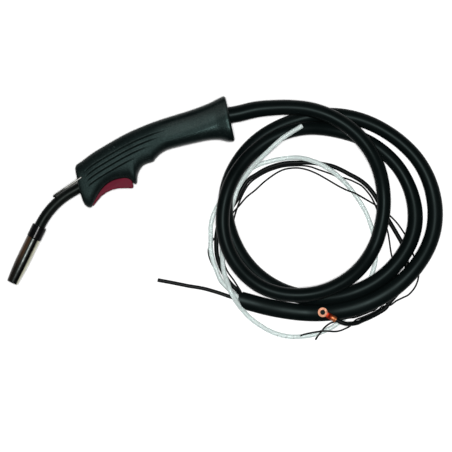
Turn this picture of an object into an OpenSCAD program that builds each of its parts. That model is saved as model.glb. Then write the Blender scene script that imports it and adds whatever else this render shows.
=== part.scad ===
// MIG welding torch, hand-held and gas-cooled, lying on its side with its cable coiled beside it.
// Each piece is its own module and node. Millimetres, +Z up, the torch's own box centred on the
// origin and standing on z = 0.

/* [Handle] */
// Length of the handle along its drawn axis
handle_length = 207.5; // [195:0.5:220]
// Thickness of the handle where the hand grips it
grip_thickness = 33; // [31:0.5:36]
// Thickness of the flared rear end, the widest part of the torch
flare_thickness = 41; // [39:0.5:46]
// Wall of the two moulded shells
shell_wall = 2.5; // [2:0.1:3]
// Corner exponent of the handle's cross-section, 2 is an ellipse and more is squarer
corner_power = 3; // [2.4:0.1:4]
// Screws that join the shells
screw_d = 3; // [2.5:0.1:3.5]
// Head of those screws
screw_head_d = 5.6; // [5:0.1:6.4]

/* [Neck and front end] */
// Outer diameter of the insulated swan neck
neck_d = 13.6; // [12.6:0.1:14.6]
// Copper tube inside the neck
neck_tube_d = 9; // [8:0.1:10]
// Bend radius of the neck's centre line
neck_radius = 100; // [90:1:110]
// Angle that the neck turns through
neck_angle = 34; // [28:1:40]
// Straight run between the handle and the bend
neck_straight = 10; // [8:0.5:14]
// Diameter of the insulating collar
collar_d = 18.7; // [18:0.1:20]
// Length of the collar's visible part
collar_length = 17.3; // [14:0.1:20]
// Outer diameter of the gas nozzle
nozzle_d = 17.7; // [17.2:0.1:18]
// Diameter of the nozzle at its mouth
nozzle_mouth_d = 13.8; // [12.8:0.1:15]
// Length of the nozzle
nozzle_length = 62.6; // [58:0.1:68]
// Wall of the nozzle
nozzle_wall = 1.3; // [1:0.1:1.5]
// Bore of the contact tip, for 0.8 mm wire
tip_bore_d = 1; // [0.9:0.1:1.2]
// How far the contact tip stops short of the nozzle's mouth
tip_recess = 6; // [5:0.5:8]

/* [Trigger and hook] */
// Width of the trigger across the handle
trigger_width = 13; // [11:0.5:14]
// Angle that the trigger turns through when it is pressed
trigger_travel = 4; // [3:0.5:4.5]
// Wire of the hanging hook
hook_wire_d = 2.2; // [1.8:0.1:2.4]
// Length of the hook from its pivot to its closed end
hook_length = 42; // [40:0.5:45]
// Direction of the hook at rest, on the handle
hook_angle = 201.5; // [199:0.5:202]

/* [Cables] */
// Outer diameter of the cable's rubber sheath
sheath_d = 17; // [16:0.1:17.2]
// Gas hose
hose_d = 5.8; // [5:0.1:5.9]
// Bore of the gas hose
hose_bore_d = 4; // [3.5:0.1:4.4]
// Power cable
power_d = 5.6; // [5:0.1:5.7]
// Trigger wires
wire_d = 2; // [1.6:0.1:2]
// Liner that guides the welding wire
liner_d = 4.8; // [4.4:0.1:4.8]
// Bolt hole of the ring terminal
lug_hole_d = 6.4; // [5.4:0.1:6.6]
// Outer diameter of the ring terminal
lug_ring_d = 12.4; // [11.6:0.1:13]

/* [Hidden] */

$fn = 48;
// Radial clearance of a piece that slides or turns in another
running_gap = 0.05;
// Gap between pieces that only pass each other
free_gap = 0.3;

// Place of the handle: where the neck's axis crosses its front face, and how it is turned
handle_place = [-54.45, 3.05];
handle_turn = 12.5;
// Height of the plane where the two shells meet
mid_z = flare_thickness / 2;
// Angle of the neck to the handle's own axis
neck_turn = 17.5;

// Outlines of the handle's side, from front to rear: top, bottom and the cavity's floor
top_line = [[2.3, 27.2], [5, 29.6], [12, 32.5], [27, 39.2], [50, 47], [74, 54.2], [96, 58.8], [118, 62],
    [137, 63.8], [161, 65.8], [185, 69.2], [200, 73], [207.5, 74.5]];
bottom_line = [[2.3, -13.5], [3.2, -19.5], [5.5, -24.3], [8.5, -26.7], [12, -27], [15, -24.8],
    [18.5, -20.4], [24, -14], [30, -8.4], [36, -4.4], [44, -1.3], [52, -0.2], [59, -0.6],
    [64, -2], [67.5, -4.6], [69.8, -8.2], [71.6, -10.2], [73.4, -10.8], [75, -8.6], [76, -4.6],
    [77.4, -0.6], [79.8, 3.5], [84, 8.1], [88, 10.6], [93, 11.7], [98, 12], [101, 12.5],
    [104, 15.2], [107.5, 17.6], [112, 20.1], [119, 22.5], [128, 23.5], [158, 24], [176, 23.5],
    [189, 21], [199, 16.5], [207.5, 15]];
cavity_line = [[2.3, -13], [4.8, -20.4], [6.4, -22.4], [8.6, -23.8], [12, -23.9], [15, -21.6],
    [24, -11.2], [30, -5.6], [36, -1.6], [44, 1.6], [52, 2.8], [62, 2.8], [73, 3.6], [80, 7.4],
    [84, 11.4], [88, 13.8], [93, 14.8], [98, 15.2], [104, 18.4], [107.5, 20.9], [112, 23.4],
    [119, 25.8], [128, 26.6], [134, 26.8], [158, 27.4], [176, 27], [189, 25], [207.5, 21]];
// Length that the outlines are drawn at; they stretch with the handle's length
drawn_length = top_line[len(top_line) - 1][0];
// Half thickness along the handle
thickness_line = [[0, grip_thickness / 2 - 2.5], [8, grip_thickness / 2 - 1.4],
    [40, grip_thickness / 2], [90, grip_thickness / 2 - 0.2], [130, grip_thickness / 2],
    [165, grip_thickness / 2 + (flare_thickness - grip_thickness) * 0.15],
    [188, grip_thickness / 2 + (flare_thickness - grip_thickness) * 0.4],
    [203, flare_thickness / 2], [drawn_length, flare_thickness / 2]];
// Where the front face stands, and the radius of the rounded edge at either end face
front_face = stretched([[2.3, 0]])[0][0];
front_edge = 2.5;
rear_edge = 3;
section_steps = 14;
// Rear opening for the cable: its height on the rear face and its direction
gland_y = 49;
gland_turn = -2.5;
// How far the cable's sheath reaches into the handle
sheath_inside = 25;

// Screw positions on the handle's side
screw_places = stretched([[20, 26], [96, 48], [150, 58.5], [176, 31]]);
boss_d = 8;
screw_head_depth = 4;
screw_bite = 9;

// Hook pivot and trigger pivot on the handle's side
hook_pivot = stretched([[7.8, 12]])[0];
hook_corner = 5;
trigger_pivot = stretched([[8.6, -19.5]])[0];
trigger_pin_d = 3;
trigger_pin_length = 20;
trigger_boss_d = 6.2;
trigger_boss_length = 8;
trigger_post_d = trigger_pin_d + 2;
clamp_seat_width = 27;
trigger_slot = trigger_width / 2 + free_gap;

// Microswitch: lower front corner of its body on the handle's side, and its size
switch_place = stretched([[54, 5.5]])[0];
switch_size = [20, 10, 6.4];
switch_posts = [[6, 7], [16, 7]];
// Heights of the two terminals on the body's rear end
lead_heights = [4, 8];
plunger_d = 3.2;
plunger_reach = 4.6;
plunger_x = switch_place[0] + 3.5;

// Stations along the collar's axis, counted from its rear face
nozzle_start = collar_length;
spigot_length = 20;
tip_d = 6;
holder_d = 10;
holder_end = nozzle_start + 32;
tip_end = nozzle_start + nozzle_length - tip_recess;
spring_wire_d = 1;
spring_turns = 8;

sheath_r = sheath_d / 2;
// Coil: centre, first direction, then the sheath's distance from the centre and its height at
// every twelfth of a turn, clockwise from above
coil_centre = [259, -24];
coil_first = 110;
coil_step = 30;
coil_radius = [138, 113, 92.5, 79, 74.5, 79, 91, 108, 127, 132.5, 126, 116,
    108, 101.5, 104.5, 111, 116.5, 113, 111, 112.5, 118, 122.5, 127, 124,
    120, 122, 127.5, 137.5, 141.5, 135, 130, 133, 153];
coil_height = [25, 28, 25.5, 18, 16.8, 16, 23.5, 27, 27.5, 33.8, 33.8, 24.5,
    22, 12, 8.5, 8.5, 13, 16.6, 16.4, 8.5, 8.5, 16, 16, 8.7,
    8.5, 8.5, 8.5, 8.5, 12, 16.4, 16, 8.5, 8.5];
// Steps from each value to the next, for the solid and for measuring its gap
coil_rings = 2;
coil_fine = 6;
coil_route = wound(coil_radius, coil_height, coil_rings);
coil_way = coil_route[1] - coil_route[0];
cut_way = coil_route[len(coil_route) - 1] - coil_route[len(coil_route) - 2];

// Routes of the free cords, hand laid, ring by ring; the tails start on the sheath's cut face
lead_route = [[171, 103, 21.8], [190, 105, 23.2]];
power_route = [cut_point(5, -0.2), [155, -134, 8], [147, -126, 4], [139, -118, 2.8], [132, -108, 2.8],
    [126, -96, 2.8], [122, -82, 3.5], [121, -66, 5], [122, -52, 5], [126, -39, 2.8],
    [134, -28, 2.8], [141.5, -19.5, 2.8], [148, -10, 2.8], [153.5, 1, 2.8], [159, 10.5, 2.8],
    [165, 16.5, 2.8], [171, 20.2, 2.8], [179, 25.2, 2.8], [186.5, 29, 2.8], [194, 31.8, 2.8],
    [203, 34.4, 2.8], [212, 35.8, 2.8], [221, 36.3, 2.8], [231, 36.5, 2.8], [242, 36.3, 2.8],
    [252.5, 35.1, 2.8], [262, 33.6, 2.8], [272, 31, 2.8], [283, 26, 2.8], [291.5, 21.4, 2.8],
    [300, 17, 2.8], [308, 11.8, 2.8], [316, 4.5, 2.8], [323, -4.5, 3], [328.5, -14, 4],
    [335, -26, 5], [342.5, -39, 3.5], [351.5, -54, 2.8], [360, -70, 2.8], [364.5, -88, 2.8],
    [363.5, -106, 2.8], [359, -121, 2.8], [351, -133, 2.8], [343, -142, 2.8], [336.5, -148.5, 2.8],
    [330, -153.8, 3], [322.5, -158.5, 4], [315, -162, 6.5], [307.5, -165, 10.5], [300, -167, 15],
    [291, -168.6, 20], [284, -168.4, 22], [276, -165.2, 22], [268, -160.8, 22]];
hose_route = [cut_point(0, 4.5), [156, -140, 13], [147, -134, 8.5], [138, -126, 5.5], [128, -116, 5.5],
    [122, -103, 5.5], [117, -89, 5.5], [114, -75, 5.5], [114, -60, 5], [114, -45, 3],
    [117, -31, 2.9], [123, -19, 2.9], [132, -7, 2.9], [142, 6, 2.9], [152, 18, 2.9],
    [162.5, 27, 2.9], [175, 33.6, 2.9], [190, 38.2, 2.9], [204, 41.2, 2.9], [218, 42.6, 3.5],
    [227, 42.6, 5.6], [236, 40.8, 8], [244, 38.2, 9], [252, 35.2, 9.4], [267, 26.6, 9], [280, 16, 6.5], [290.5, 5.6, 4],
    [299.5, -6, 2.9], [308, -19, 2.9], [315, -33, 2.9], [321, -51, 2.9], [325, -69, 2.9],
    [325, -87, 2.9], [321, -104, 2.9], [313, -123, 2.9], [301, -142, 2.9],
    [291, -155, 2.9], [281, -166, 2.9], [266, -176, 2.9], [248, -183, 2.9],
    [231, -186, 2.9], [213, -186, 2.9], [194, -181, 2.9], [176, -171, 2.9], [163, -161, 3],
    [154, -151, 5.5], [146, -140, 12.5], [140, -129, 14.5], [135.5, -117, 13],
    [131, -104, 9.5], [129, -89, 6.6], [128.4, -73, 4.8], [131.5, -55, 4], [137, -38, 5.5],
    [141.8, -24, 7.5], [146.2, -12, 10.5], [151, 3, 9.5], [157, 16, 10.5], [165.2, 28, 15],
    [176.4, 40.2, 24], [189, 52, 32.4], [202, 64, 35], [215, 73, 35], [230, 82, 34.5]];
wire_a_route = [cut_point(1.3, -5), [155, -138, 3.5], [147, -132, 1], [137, -124, 1], [129, -115, 1],
    [122, -104, 1], [116, -94, 1], [112, -84, 1], [111, -75, 1], [114, -67, 1],
    [118, -61, 1], [124, -54, 1], [131, -44, 1], [137, -35, 1], [143, -27, 1],
    [151, -18, 1], [159.5, -8, 1], [170, 0.4, 1], [175, 5, 1], [181, 10.6, 1], [187, 15.4, 1],
    [193, 19.8, 1], [199, 23.6, 1], [206, 27, 1], [213, 28.8, 1], [221, 29.6, 1],
    [229, 29.2, 1], [239, 26.8, 1], [250, 22.2, 1], [261.5, 15.8, 1], [273, 9, 1.5],
    [280, 5, 3], [288, 1, 6], [297, -2.4, 8], [304, -6, 7], [312, -10.4, 2.5], [324, -17.4, 1],
    [337, -26, 1], [349, -37, 1], [357, -47, 1], [365, -60, 1], [372, -78, 1], [378, -96, 1],
    [380, -109, 1], [376, -122, 1], [368, -132, 1], [360, -136.4, 1], [351.5, -140.6, 1],
    [345, -146, 1], [338, -152.6, 1], [332, -157.2, 1], [324.5, -162, 1], [316.5, -165.8, 1],
    [308, -168.8, 1], [300, -170.4, 1], [292, -173, 1], [285, -176.6, 1], [279, -178.8, 1.6],
    [273, -179.6, 4.5], [264, -179, 8], [255, -179, 9], [243, -181, 8], [234, -183, 7],
    [228, -185, 7]];
wire_b_route = [cut_point(4.6, -5.2), [155, -132, 4], [151, -126, 1], [144, -115, 1], [135, -102, 1],
    [131, -89, 1], [134, -73, 1], [138.5, -56, 1], [142.5, -40, 1], [145.4, -29, 2.6],
    [148, -21, 3.6], [151, -13, 2.2], [154, -6, 1], [157.6, 1, 1], [162, 7.8, 1], [167, 13, 1],
    [172.5, 17, 1], [180, 21.6, 1], [188, 25.5, 1], [195.5, 28.2, 1], [204, 30.7, 1],
    [212.5, 32, 1], [221, 32.5, 1], [231.5, 32.6, 1], [242, 31, 1], [250.5, 28, 1],
    [261.5, 24.2, 1], [268, 21.8, 1], [276, 18.6, 1], [285, 16.6, 1], [292.5, 14.2, 1],
    [299, 11.2, 1], [307, 6.8, 1], [314, -0.4, 1], [319.5, -8, 2], [324, -17, 3.5], [328.5, -28, 1.5],
    [335, -40, 1], [340, -50, 1], [342.5, -63, 1], [344, -74, 1], [346, -84, 1],
    [350.5, -93, 1], [354, -101, 1], [351.5, -107.6, 1], [345, -114, 1], [338.5, -121, 1],
    [334.5, -130, 1], [331.5, -140, 1], [326, -149, 1], [318, -154.6, 1], [309, -158.8, 1],
    [300, -161, 3.5], [291.5, -162, 6.5], [283, -163.6, 7.5], [275, -166.4, 5.5],
    [267, -169, 3], [260, -174, 5], [255, -180, 7], [251, -185, 6.5], [248, -190, 3.5]];
liner_route = [cut_point(-3.4, -3.5), [156, -143, 5], [147, -137, 2.5], [136, -133, 2.4], [122, -128, 2.4],
    [104, -123, 2.4], [85, -120, 2.4], [66, -116, 2.4], [46, -112, 2.4]];
liner_bore_d = 2;
// Depth of the bores shown at the cut ends
hose_bore_depth = 12;
lug_thickness = 1.5;
lug_barrel_d = 7.4;
lug_barrel_length = 6;
lug_reach = 13.5;

// ---------- functions ----------

function unit(v) = v / norm(v);

// Height of a line of points at one x, as a smooth curve through them
function line_at(line, x) =
    let(
        last = len(line) - 1,
        i = max([for (k = [0 : last - 1]) if (line[k][0] <= x || k == 0) k]),
        p0 = line[max(i - 1, 0)],
        p1 = line[i],
        p2 = line[i + 1],
        p3 = line[min(i + 2, last)],
        span = p2[0] - p1[0],
        t = min(max((x - p1[0]) / span, 0), 1),
        m1 = (p2[1] - p0[1]) / (p2[0] - p0[0]) * span,
        m2 = (p3[1] - p1[1]) / (p3[0] - p1[0]) * span
    )
    p1[1] * (2 * pow(t, 3) - 3 * pow(t, 2) + 1) + m1 * (pow(t, 3) - 2 * pow(t, 2) + t)
    + p2[1] * (3 * pow(t, 2) - 2 * pow(t, 3)) + m2 * (pow(t, 3) - pow(t, 2));

// Catmull-Rom curve through points, with a number of steps from each to the next
function smooth(points, steps) =
    let(last = len(points) - 1)
    [for (i = [0 : last - 1])
        let(
            p1 = points[i],
            p2 = points[i + 1],
            p0 = i == 0 ? 2 * p1 - p2 : points[i - 1],
            p3 = i == last - 1 ? 2 * p2 - p1 : points[i + 2]
        )
        for (k = [0 : steps - 1])
            let(t = k / steps)
            (2 * p1 + (p2 - p0) * t + (2 * p0 - 5 * p1 + 4 * p2 - p3) * t * t
                + (3 * p1 - p0 - 3 * p2 + p3) * t * t * t) / 2,
        points[last]];

// The sheath's turns: radius and height, smoothed, wound clockwise round the coil's centre
function wound(radii, heights, steps) =
    let(line = smooth([for (i = [0 : len(radii) - 1]) [radii[i], heights[i]]], steps))
    [for (i = [0 : len(line) - 1])
        let(a = coil_first - coil_step * i / steps)
        [coil_centre[0] + line[i][0] * cos(a), coil_centre[1] + line[i][0] * sin(a),
            max(line[i][1], sheath_r)]];

// Superellipse coordinate
function squared(v) = sign(v) * pow(abs(v), 2 / corner_power);

// Point on the sheath's cut face, by its place to the right of the sheath and above its axis
function cut_point(right, up) =
    let(
        last = len(coil_route) - 1,
        way = unit(coil_route[last] - coil_route[last - 1])
    )
    coil_route[last] + right * unit(cross(way, [0, 0, 1])) + [0, 0, up];

// How much a face's rounded edge draws the section in, at a distance from the face
function edge_inset(distance, radius) =
    distance >= radius ? 0 : radius - sqrt(radius * radius - pow(radius - distance, 2));

function drawn_x(x) = x * drawn_length / handle_length;
function stretched(points) = [for (p = points) [p[0] * handle_length / drawn_length, p[1]]];
function top_y(x) = line_at(top_line, drawn_x(x));
function bottom_y(x) = line_at(bottom_line, drawn_x(x));
function half_z(x) = min(line_at(thickness_line, drawn_x(x)), flare_thickness / 2);
// Outer surface of the handle's side above the split plane, at a place on the side
// (inside_z is the height that stays within its wall all over a square round the place)
function side_z(place) =
    let(
        high = top_y(place[0]),
        low = bottom_y(place[0]),
        v = (2 * place[1] - high - low) / (high - low)
    )
    half_z(place[0]) * pow(1 - pow(abs(v), corner_power), 1 / corner_power);
function inside_z(place, reach) =
    min([for (x = [-reach, reach]) for (y = [-reach, reach]) side_z(place + [x, y])])
    - shell_wall * 0.4;

// Half of a handle section at x, from the top edge over +Z to the bottom edge
function half_section(x, low, high, half) =
    [for (k = [0 : section_steps])
        let(a = 180 * k / section_steps)
        [x, (high + low) / 2 + (high - low) / 2 * squared(cos(a)), half * squared(sin(a))]];

outer_x = [2.3, 2.65, 3.4, 4.8, 6.4, 8.5, 10.2, 12, 13.5, 15, 18.5, 21.5, 25, 30, 36, 42, 48,
    53, 58, 62, 65, 67.5, 69.8, 71.6, 73.4, 74.4, 75.4, 76.2, 77.4, 79.8, 82, 84, 88, 93, 98,
    101, 102.6, 104.6, 107.5, 112, 118, 126, 136, 148, 160, 172, 182, 190, 197, 201.5, 204.5,
    206.3, 207.2, 207.5] * handle_length / drawn_length;
function outer_ring(x) =
    let(inset = edge_inset(x - front_face, front_edge) + edge_inset(handle_length - x, rear_edge))
    half_section(x, bottom_y(x) + inset, top_y(x) - inset, half_z(x) - inset);
function inner_ring(x) =
    let(inside = front_face + shell_wall
        + (x - front_face) * (1 - 2 * shell_wall / (handle_length - front_face)))
    half_section(inside, line_at(cavity_line, drawn_x(inside)) + shell_wall - 2.5,
        top_y(inside) - shell_wall, half_z(inside) - shell_wall);

// Least distance between two stretches of one cord that lie apart along it
function least_gap(points, apart, width) =
    min([for (i = [0 : len(points) - 1]) for (j = [i + apart : 1 : len(points) - 1])
        norm(points[i] - points[j])]) - width;

// ---------- shared modules ----------

// Handle frame: +X to the rear along the handle, +Y to its top, z = 0 on the split plane
module on_handle() {
    translate([handle_place[0], handle_place[1], mid_z]) rotate([0, 0, handle_turn]) children();
}

// Neck frame: the neck's axis as +X, towards the rear
module on_neck() {
    on_handle() rotate([0, 0, neck_turn]) children();
}

// Collar frame: +Z along the front end's axis towards the nozzle's mouth
module on_front() {
    on_neck() translate([-neck_straight, -neck_radius, 0]) rotate([0, 0, neck_angle])
        translate([0, neck_radius, 0]) rotate([0, -90, 0]) children();
}

// Gland frame: the cable's axis as +X out of the rear face
module on_gland() {
    on_handle() translate([handle_length, gland_y, 0]) rotate([0, 0, gland_turn]) children();
}

// Round bar along +X from one x to another
module bar_x(from, to, d) {
    translate([from, 0, 0]) rotate([0, 90, 0]) cylinder(d = d, h = to - from);
}

// Frame at one point with +Z towards another
module towards(from, to) {
    way = to - from;
    translate(from) rotate([0, acos(way[2] / norm(way)), atan2(way[1], way[0])]) children();
}

// Tube of a cord swept along its route, one ring a point; the end rings are square to the
// directions given, or to the route's own ends
module cord(route, d, sides, first_way = [0, 0, 0], last_way = [0, 0, 0]) {
    last = len(route) - 1;
    rings = [for (i = [0 : last])
        let(
            along = i == 0 ? (norm(first_way) > 0 ? first_way : route[1] - route[0])
                : i == last ? (norm(last_way) > 0 ? last_way : route[last] - route[last - 1])
                : unit(route[i + 1] - route[i]) + unit(route[i] - route[i - 1]),
            side = unit(cross(along, [0, 0, 1])),
            up = unit(cross(side, along))
        )
        for (k = [0 : sides - 1])
            let(a = 360 * (k + 0.5) / sides)
            route[i] + d / 2 * (cos(a) * side + sin(a) * up)];
    walls = [for (i = [0 : last - 1]) for (k = [0 : sides - 1])
        let(n = (k + 1) % sides, a = i * sides, b = (i + 1) * sides)
        each [[a + k, b + n, b + k], [a + k, a + n, b + n]]];
    ends = [[for (k = [sides - 1 : -1 : 0]) k], [for (k = [0 : sides - 1]) last * sides + k]];
    polyhedron(points = rings, faces = concat(walls, ends), convexity = 10);
}

// ---------- handle ----------

// One half of the moulded handle, hollow and open on the split plane
module half_shell() {
    n = section_steps + 1;
    rings = len(outer_x);
    skin = [for (x = outer_x) each outer_ring(x)];
    lining = [for (x = outer_x) each inner_ring(x)];
    base = rings * n;
    outer_faces = [for (i = [0 : rings - 2]) for (k = [0 : n - 2])
        let(a = i * n + k, b = a + n)
        each [[a, b, b + 1], [a, b + 1, a + 1]]];
    inner_faces = [for (i = [0 : rings - 2]) for (k = [0 : n - 2])
        let(a = base + i * n + k, b = a + n)
        each [[a, b + 1, b], [a, a + 1, b + 1]]];
    rim_faces = [for (i = [0 : rings - 2])
        let(a = i * n, b = a + n)
        each [[a, base + b, b], [a, base + a, base + b],
            [a + n - 1, b + n - 1, base + b + n - 1],
            [a + n - 1, base + b + n - 1, base + a + n - 1]]];
    end = base - n;
    caps = [[for (k = [0 : n - 1]) k], [for (k = [n - 1 : -1 : 0]) end + k],
        [for (k = [n - 1 : -1 : 0]) base + k], [for (k = [0 : n - 1]) base + end + k],
        [0, n - 1, base + n - 1, base], [end, base + end, base + end + n - 1, end + n - 1]];
    polyhedron(points = concat(skin, lining), faces = concat(outer_faces, inner_faces,
        rim_faces, caps), convexity = 10);
}

// Bosses and ribs that stand on the inside of a shell, up to the split plane
module shell_inside() {
    for (place = screw_places)
        translate([place[0], place[1], 0])
            cylinder(d = boss_d, h = inside_z(place, boss_d * 0.35));
    // Boss of the trigger's pin
    translate([trigger_pivot[0], trigger_pivot[1], trigger_slot])
        cylinder(d = trigger_post_d,
            h = inside_z(trigger_pivot, trigger_post_d * 0.378) - trigger_slot);
    // Cradle of the neck
    rotate([0, 0, neck_turn]) translate([17, -neck_d / 2 - 2, 0])
        cube([3, neck_d + 4, inside_z([18, 5.5], 8)]);
    // Seats of the cable clamp
    translate([handle_length, gland_y, 0]) rotate([0, 0, gland_turn])
        for (x = [-23, -10])
            translate([x, -clamp_seat_width / 2, 0])
                cube([3, clamp_seat_width, inside_z([handle_length + x, gland_y],
                    clamp_seat_width / 2)]);
    // Posts of the microswitch, with a shoulder on either side of it
    for (post = switch_posts)
        translate([switch_place[0] + post[0], switch_place[1] + post[1], 0]) {
            cylinder(d = 2.4, h = inside_z(switch_place + post, 2));
            translate([0, 0, switch_size[2] / 2])
                cylinder(d = 5, h = inside_z(switch_place + post, 2) - switch_size[2] / 2);
        }
}

// What is cut from both shells
module shell_openings() {
    // Neck
    rotate([0, 0, neck_turn]) bar_x(-8, 22, neck_d + 2 * running_gap);
    // Cable
    translate([handle_length, gland_y, 0]) rotate([0, 0, gland_turn])
        bar_x(-28, 8, sheath_d + 2 * running_gap);
    // Trigger
    translate([0, 0, -trigger_slot]) linear_extrude(2 * trigger_slot)
        polygon(stretched([[11.5, -36], [11.5, -21.5], [22, -10.4], [31, -2.6], [41, 3], [50, 4.6],
            [60, 4.6], [70.3, 4.6], [70.3, -36]]));
    // Trigger pin
    translate([trigger_pivot[0], trigger_pivot[1], 0])
        cylinder(d = trigger_pin_d, h = trigger_pin_length, center = true);
    // Hook pivot
    translate([hook_pivot[0], hook_pivot[1], 0])
        cylinder(d = hook_wire_d + 2 * running_gap, h = 2 * grip_thickness, center = true);
}

module handle_upper_shell() {
    color([0.09, 0.11, 0.11]) on_handle() difference() {
        union() {
            half_shell();
            shell_inside();
        }
        shell_openings();
        for (place = screw_places)
            translate([place[0], place[1], -1])
                cylinder(d = screw_d, h = screw_bite + 1);
    }
}

module handle_lower_shell() {
    color([0.09, 0.11, 0.11]) on_handle() difference() {
        mirror([0, 0, 1]) union() {
            half_shell();
            shell_inside();
        }
        shell_openings();
        for (place = screw_places)
            translate([place[0], place[1], 0]) {
                translate([0, 0, -grip_thickness])
                    cylinder(d = screw_d + 2 * running_gap, h = grip_thickness + 1);
                translate([0, 0, -side_z(place) - 5])
                    cylinder(d = screw_head_d + 2 * free_gap, h = 5 + screw_head_depth);
            }
    }
}

module handle_screws() {
    color("silver") on_handle()
        for (place = screw_places)
            translate([place[0], place[1], -side_z(place) + screw_head_depth]) difference() {
                union() {
                    translate([0, 0, -2.4]) cylinder(d = screw_head_d, h = 2.4);
                    cylinder(d = screw_d, h = side_z(place) - screw_head_depth + screw_bite);
                }
                translate([0, 0, -3]) cylinder(d = screw_head_d * 0.45, h = 1.9, $fn = 6);
            }
}

// ---------- neck and front end ----------

// Swan neck as a bent bar from its rear end inside the handle to the collar
module bent_bar(rear, d) {
    on_neck() {
        bar_x(-neck_straight, rear, d);
        translate([-neck_straight, -neck_radius, 0])
            rotate_extrude(angle = neck_angle, start = 90, $fn = 144)
                translate([neck_radius, 0]) circle(d = d, $fn = 48);
    }
}

sleeve_inside = 20;
tube_inside = 32;
tube_front = 12;
tube_front_d = neck_tube_d - 1;
// Rear face of the brass block, and where its two ferrules stand on it
block_rear = tube_inside + 6;
ferrule_place = [2.5, 5.6];

module neck_sleeve() {
    color([0.1, 0.1, 0.1]) difference() {
        bent_bar(sleeve_inside, neck_d);
        on_neck() bar_x(-neck_straight, sleeve_inside + 1, neck_tube_d + 2 * running_gap);
        on_neck() translate([-neck_straight, -neck_radius, 0])
            rotate_extrude(angle = neck_angle + 2, start = 90, $fn = 144)
                translate([neck_radius, 0]) circle(d = neck_tube_d + 2 * running_gap, $fn = 48);
    }
}

module neck_tube() {
    color([0.72, 0.45, 0.3]) {
        bent_bar(tube_inside, neck_tube_d);
        on_front() cylinder(d = tube_front_d, h = tube_front);
    }
}

// Brass block that joins the neck to the gas hose, the power cable and the liner
module neck_connector() {
    color([0.8, 0.65, 0.3]) on_neck() difference() {
        union() {
            bar_x(tube_inside - 8, tube_inside - 2, 14);
            bar_x(tube_inside - 2, block_rear, 20);
            for (side = [-1, 1])
                translate([0, ferrule_place[0], side * ferrule_place[1]])
                    bar_x(block_rear - 1, block_rear + 9, 7.4);
        }
        bar_x(tube_inside - 9, tube_inside, neck_tube_d);
        for (side = [-1, 1])
            translate([0, ferrule_place[0], side * ferrule_place[1]])
                bar_x(block_rear + 2, block_rear + 10, hose_d + 2 * running_gap);
    }
}

module nozzle_insulator() {
    color([0.05, 0.05, 0.05]) on_front() difference() {
        union() {
            rotate_extrude() polygon([[0, 0], [collar_d / 2 - 0.8, 0], [collar_d / 2, 0.8],
                [collar_d / 2, collar_length - 1], [collar_d / 2 - 0.4, collar_length],
                [0, collar_length]]);
            cylinder(d = spring_hole - 2.9 * spring_wire_d, h = nozzle_start + spigot_length);
        }
        translate([0, 0, -1])
            cylinder(d = tube_front_d + 2 * running_gap, h = tube_front + 1.1);
        translate([0, 0, tube_front - running_gap])
            cylinder(d = holder_d + 2 * running_gap, h = nozzle_start + spigot_length);
    }
}

// Bore of the nozzle where it slides over the spring
spring_hole = nozzle_d - 2 * nozzle_wall;

// Spring that grips the nozzle from inside, wound round the insulator
module nozzle_spring() {
    spring_d = spring_hole - 1.15 * spring_wire_d;
    pitch = (spigot_length - 3) / spring_turns;
    turns = [for (i = [0 : 12 * spring_turns])
        let(a = 30 * i)
        [spring_d / 2 * cos(a), spring_d / 2 * sin(a), pitch * i / 12]];
    color("silver") on_front() translate([0, 0, nozzle_start + 1.5])
        helix_wire(turns, spring_wire_d);
}

// Wire of six sides round a helix about +Z
module helix_wire(turns, d) {
    last = len(turns) - 1;
    sides = 6;
    rings = [for (p = turns)
        let(out = unit([p[0], p[1], 0]))
        for (k = [0 : sides - 1])
            let(a = 60 * k)
            p + d / 2 * (cos(a) * out + sin(a) * [0, 0, 1])];
    walls = [for (i = [0 : last - 1]) for (k = [0 : sides - 1])
        let(n = (k + 1) % sides, a = i * sides, b = (i + 1) * sides)
        each [[a + k, b + n, b + k], [a + k, a + n, b + n]]];
    ends = [[for (k = [sides - 1 : -1 : 0]) k], [for (k = [0 : sides - 1]) last * sides + k]];
    polyhedron(points = rings, faces = concat(walls, ends), convexity = 10);
}

module tip_holder() {
    color([0.8, 0.65, 0.3]) on_front() difference() {
        union() {
            translate([0, 0, tube_front]) cylinder(d = holder_d, h = holder_end - tube_front - 4);
            translate([0, 0, holder_end - 4]) cylinder(d1 = holder_d, d2 = 8, h = 4);
        }
        translate([0, 0, holder_end - 8]) cylinder(d = tip_d, h = 9);
        translate([0, 0, tube_front - 1]) cylinder(d = 4, h = holder_end);
        // Gas holes
        for (a = [0 : 90 : 270])
            translate([0, 0, holder_end - 10]) rotate([90, 0, a]) cylinder(d = 1.6, h = holder_d);
    }
}

module contact_tip() {
    color([0.72, 0.42, 0.25]) on_front() translate([0, 0, holder_end - 8]) difference() {
        length = tip_end - holder_end + 8;
        union() {
            cylinder(d = tip_d, h = length - 8);
            translate([0, 0, length - 8]) cylinder(d1 = tip_d, d2 = 3.4, h = 8);
            translate([0, 0, 8]) cylinder(d = 7.6, h = 3, $fn = 6);
        }
        translate([0, 0, -1]) cylinder(d = tip_bore_d, h = length + 2);
    }
}

// Nozzle: straight, then drawn in by a smooth curve to the mouth
module gas_nozzle() {
    straight = nozzle_length * 0.52;
    narrowing = (nozzle_d - nozzle_mouth_d) / 2;
    curve = [for (k = [1 : 8])
        let(t = k / 8)
        [nozzle_d / 2 - narrowing * (0.45 * t + 0.55 * t * t),
            straight + (nozzle_length - straight) * t]];
    inside = [for (k = [8 : -1 : 1]) [curve[k - 1][0] - nozzle_wall, curve[k - 1][1]]];
    color([0.55, 0.5, 0.44]) on_front() translate([0, 0, nozzle_start + running_gap])
        rotate_extrude() polygon(concat([[nozzle_d / 2 - 0.4, 0], [nozzle_d / 2, 0.4],
            [nozzle_d / 2, straight]], curve, inside, [[nozzle_d / 2 - nozzle_wall, straight],
            [nozzle_d / 2 - nozzle_wall, 0]]));
}

// ---------- trigger and switch ----------

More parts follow.
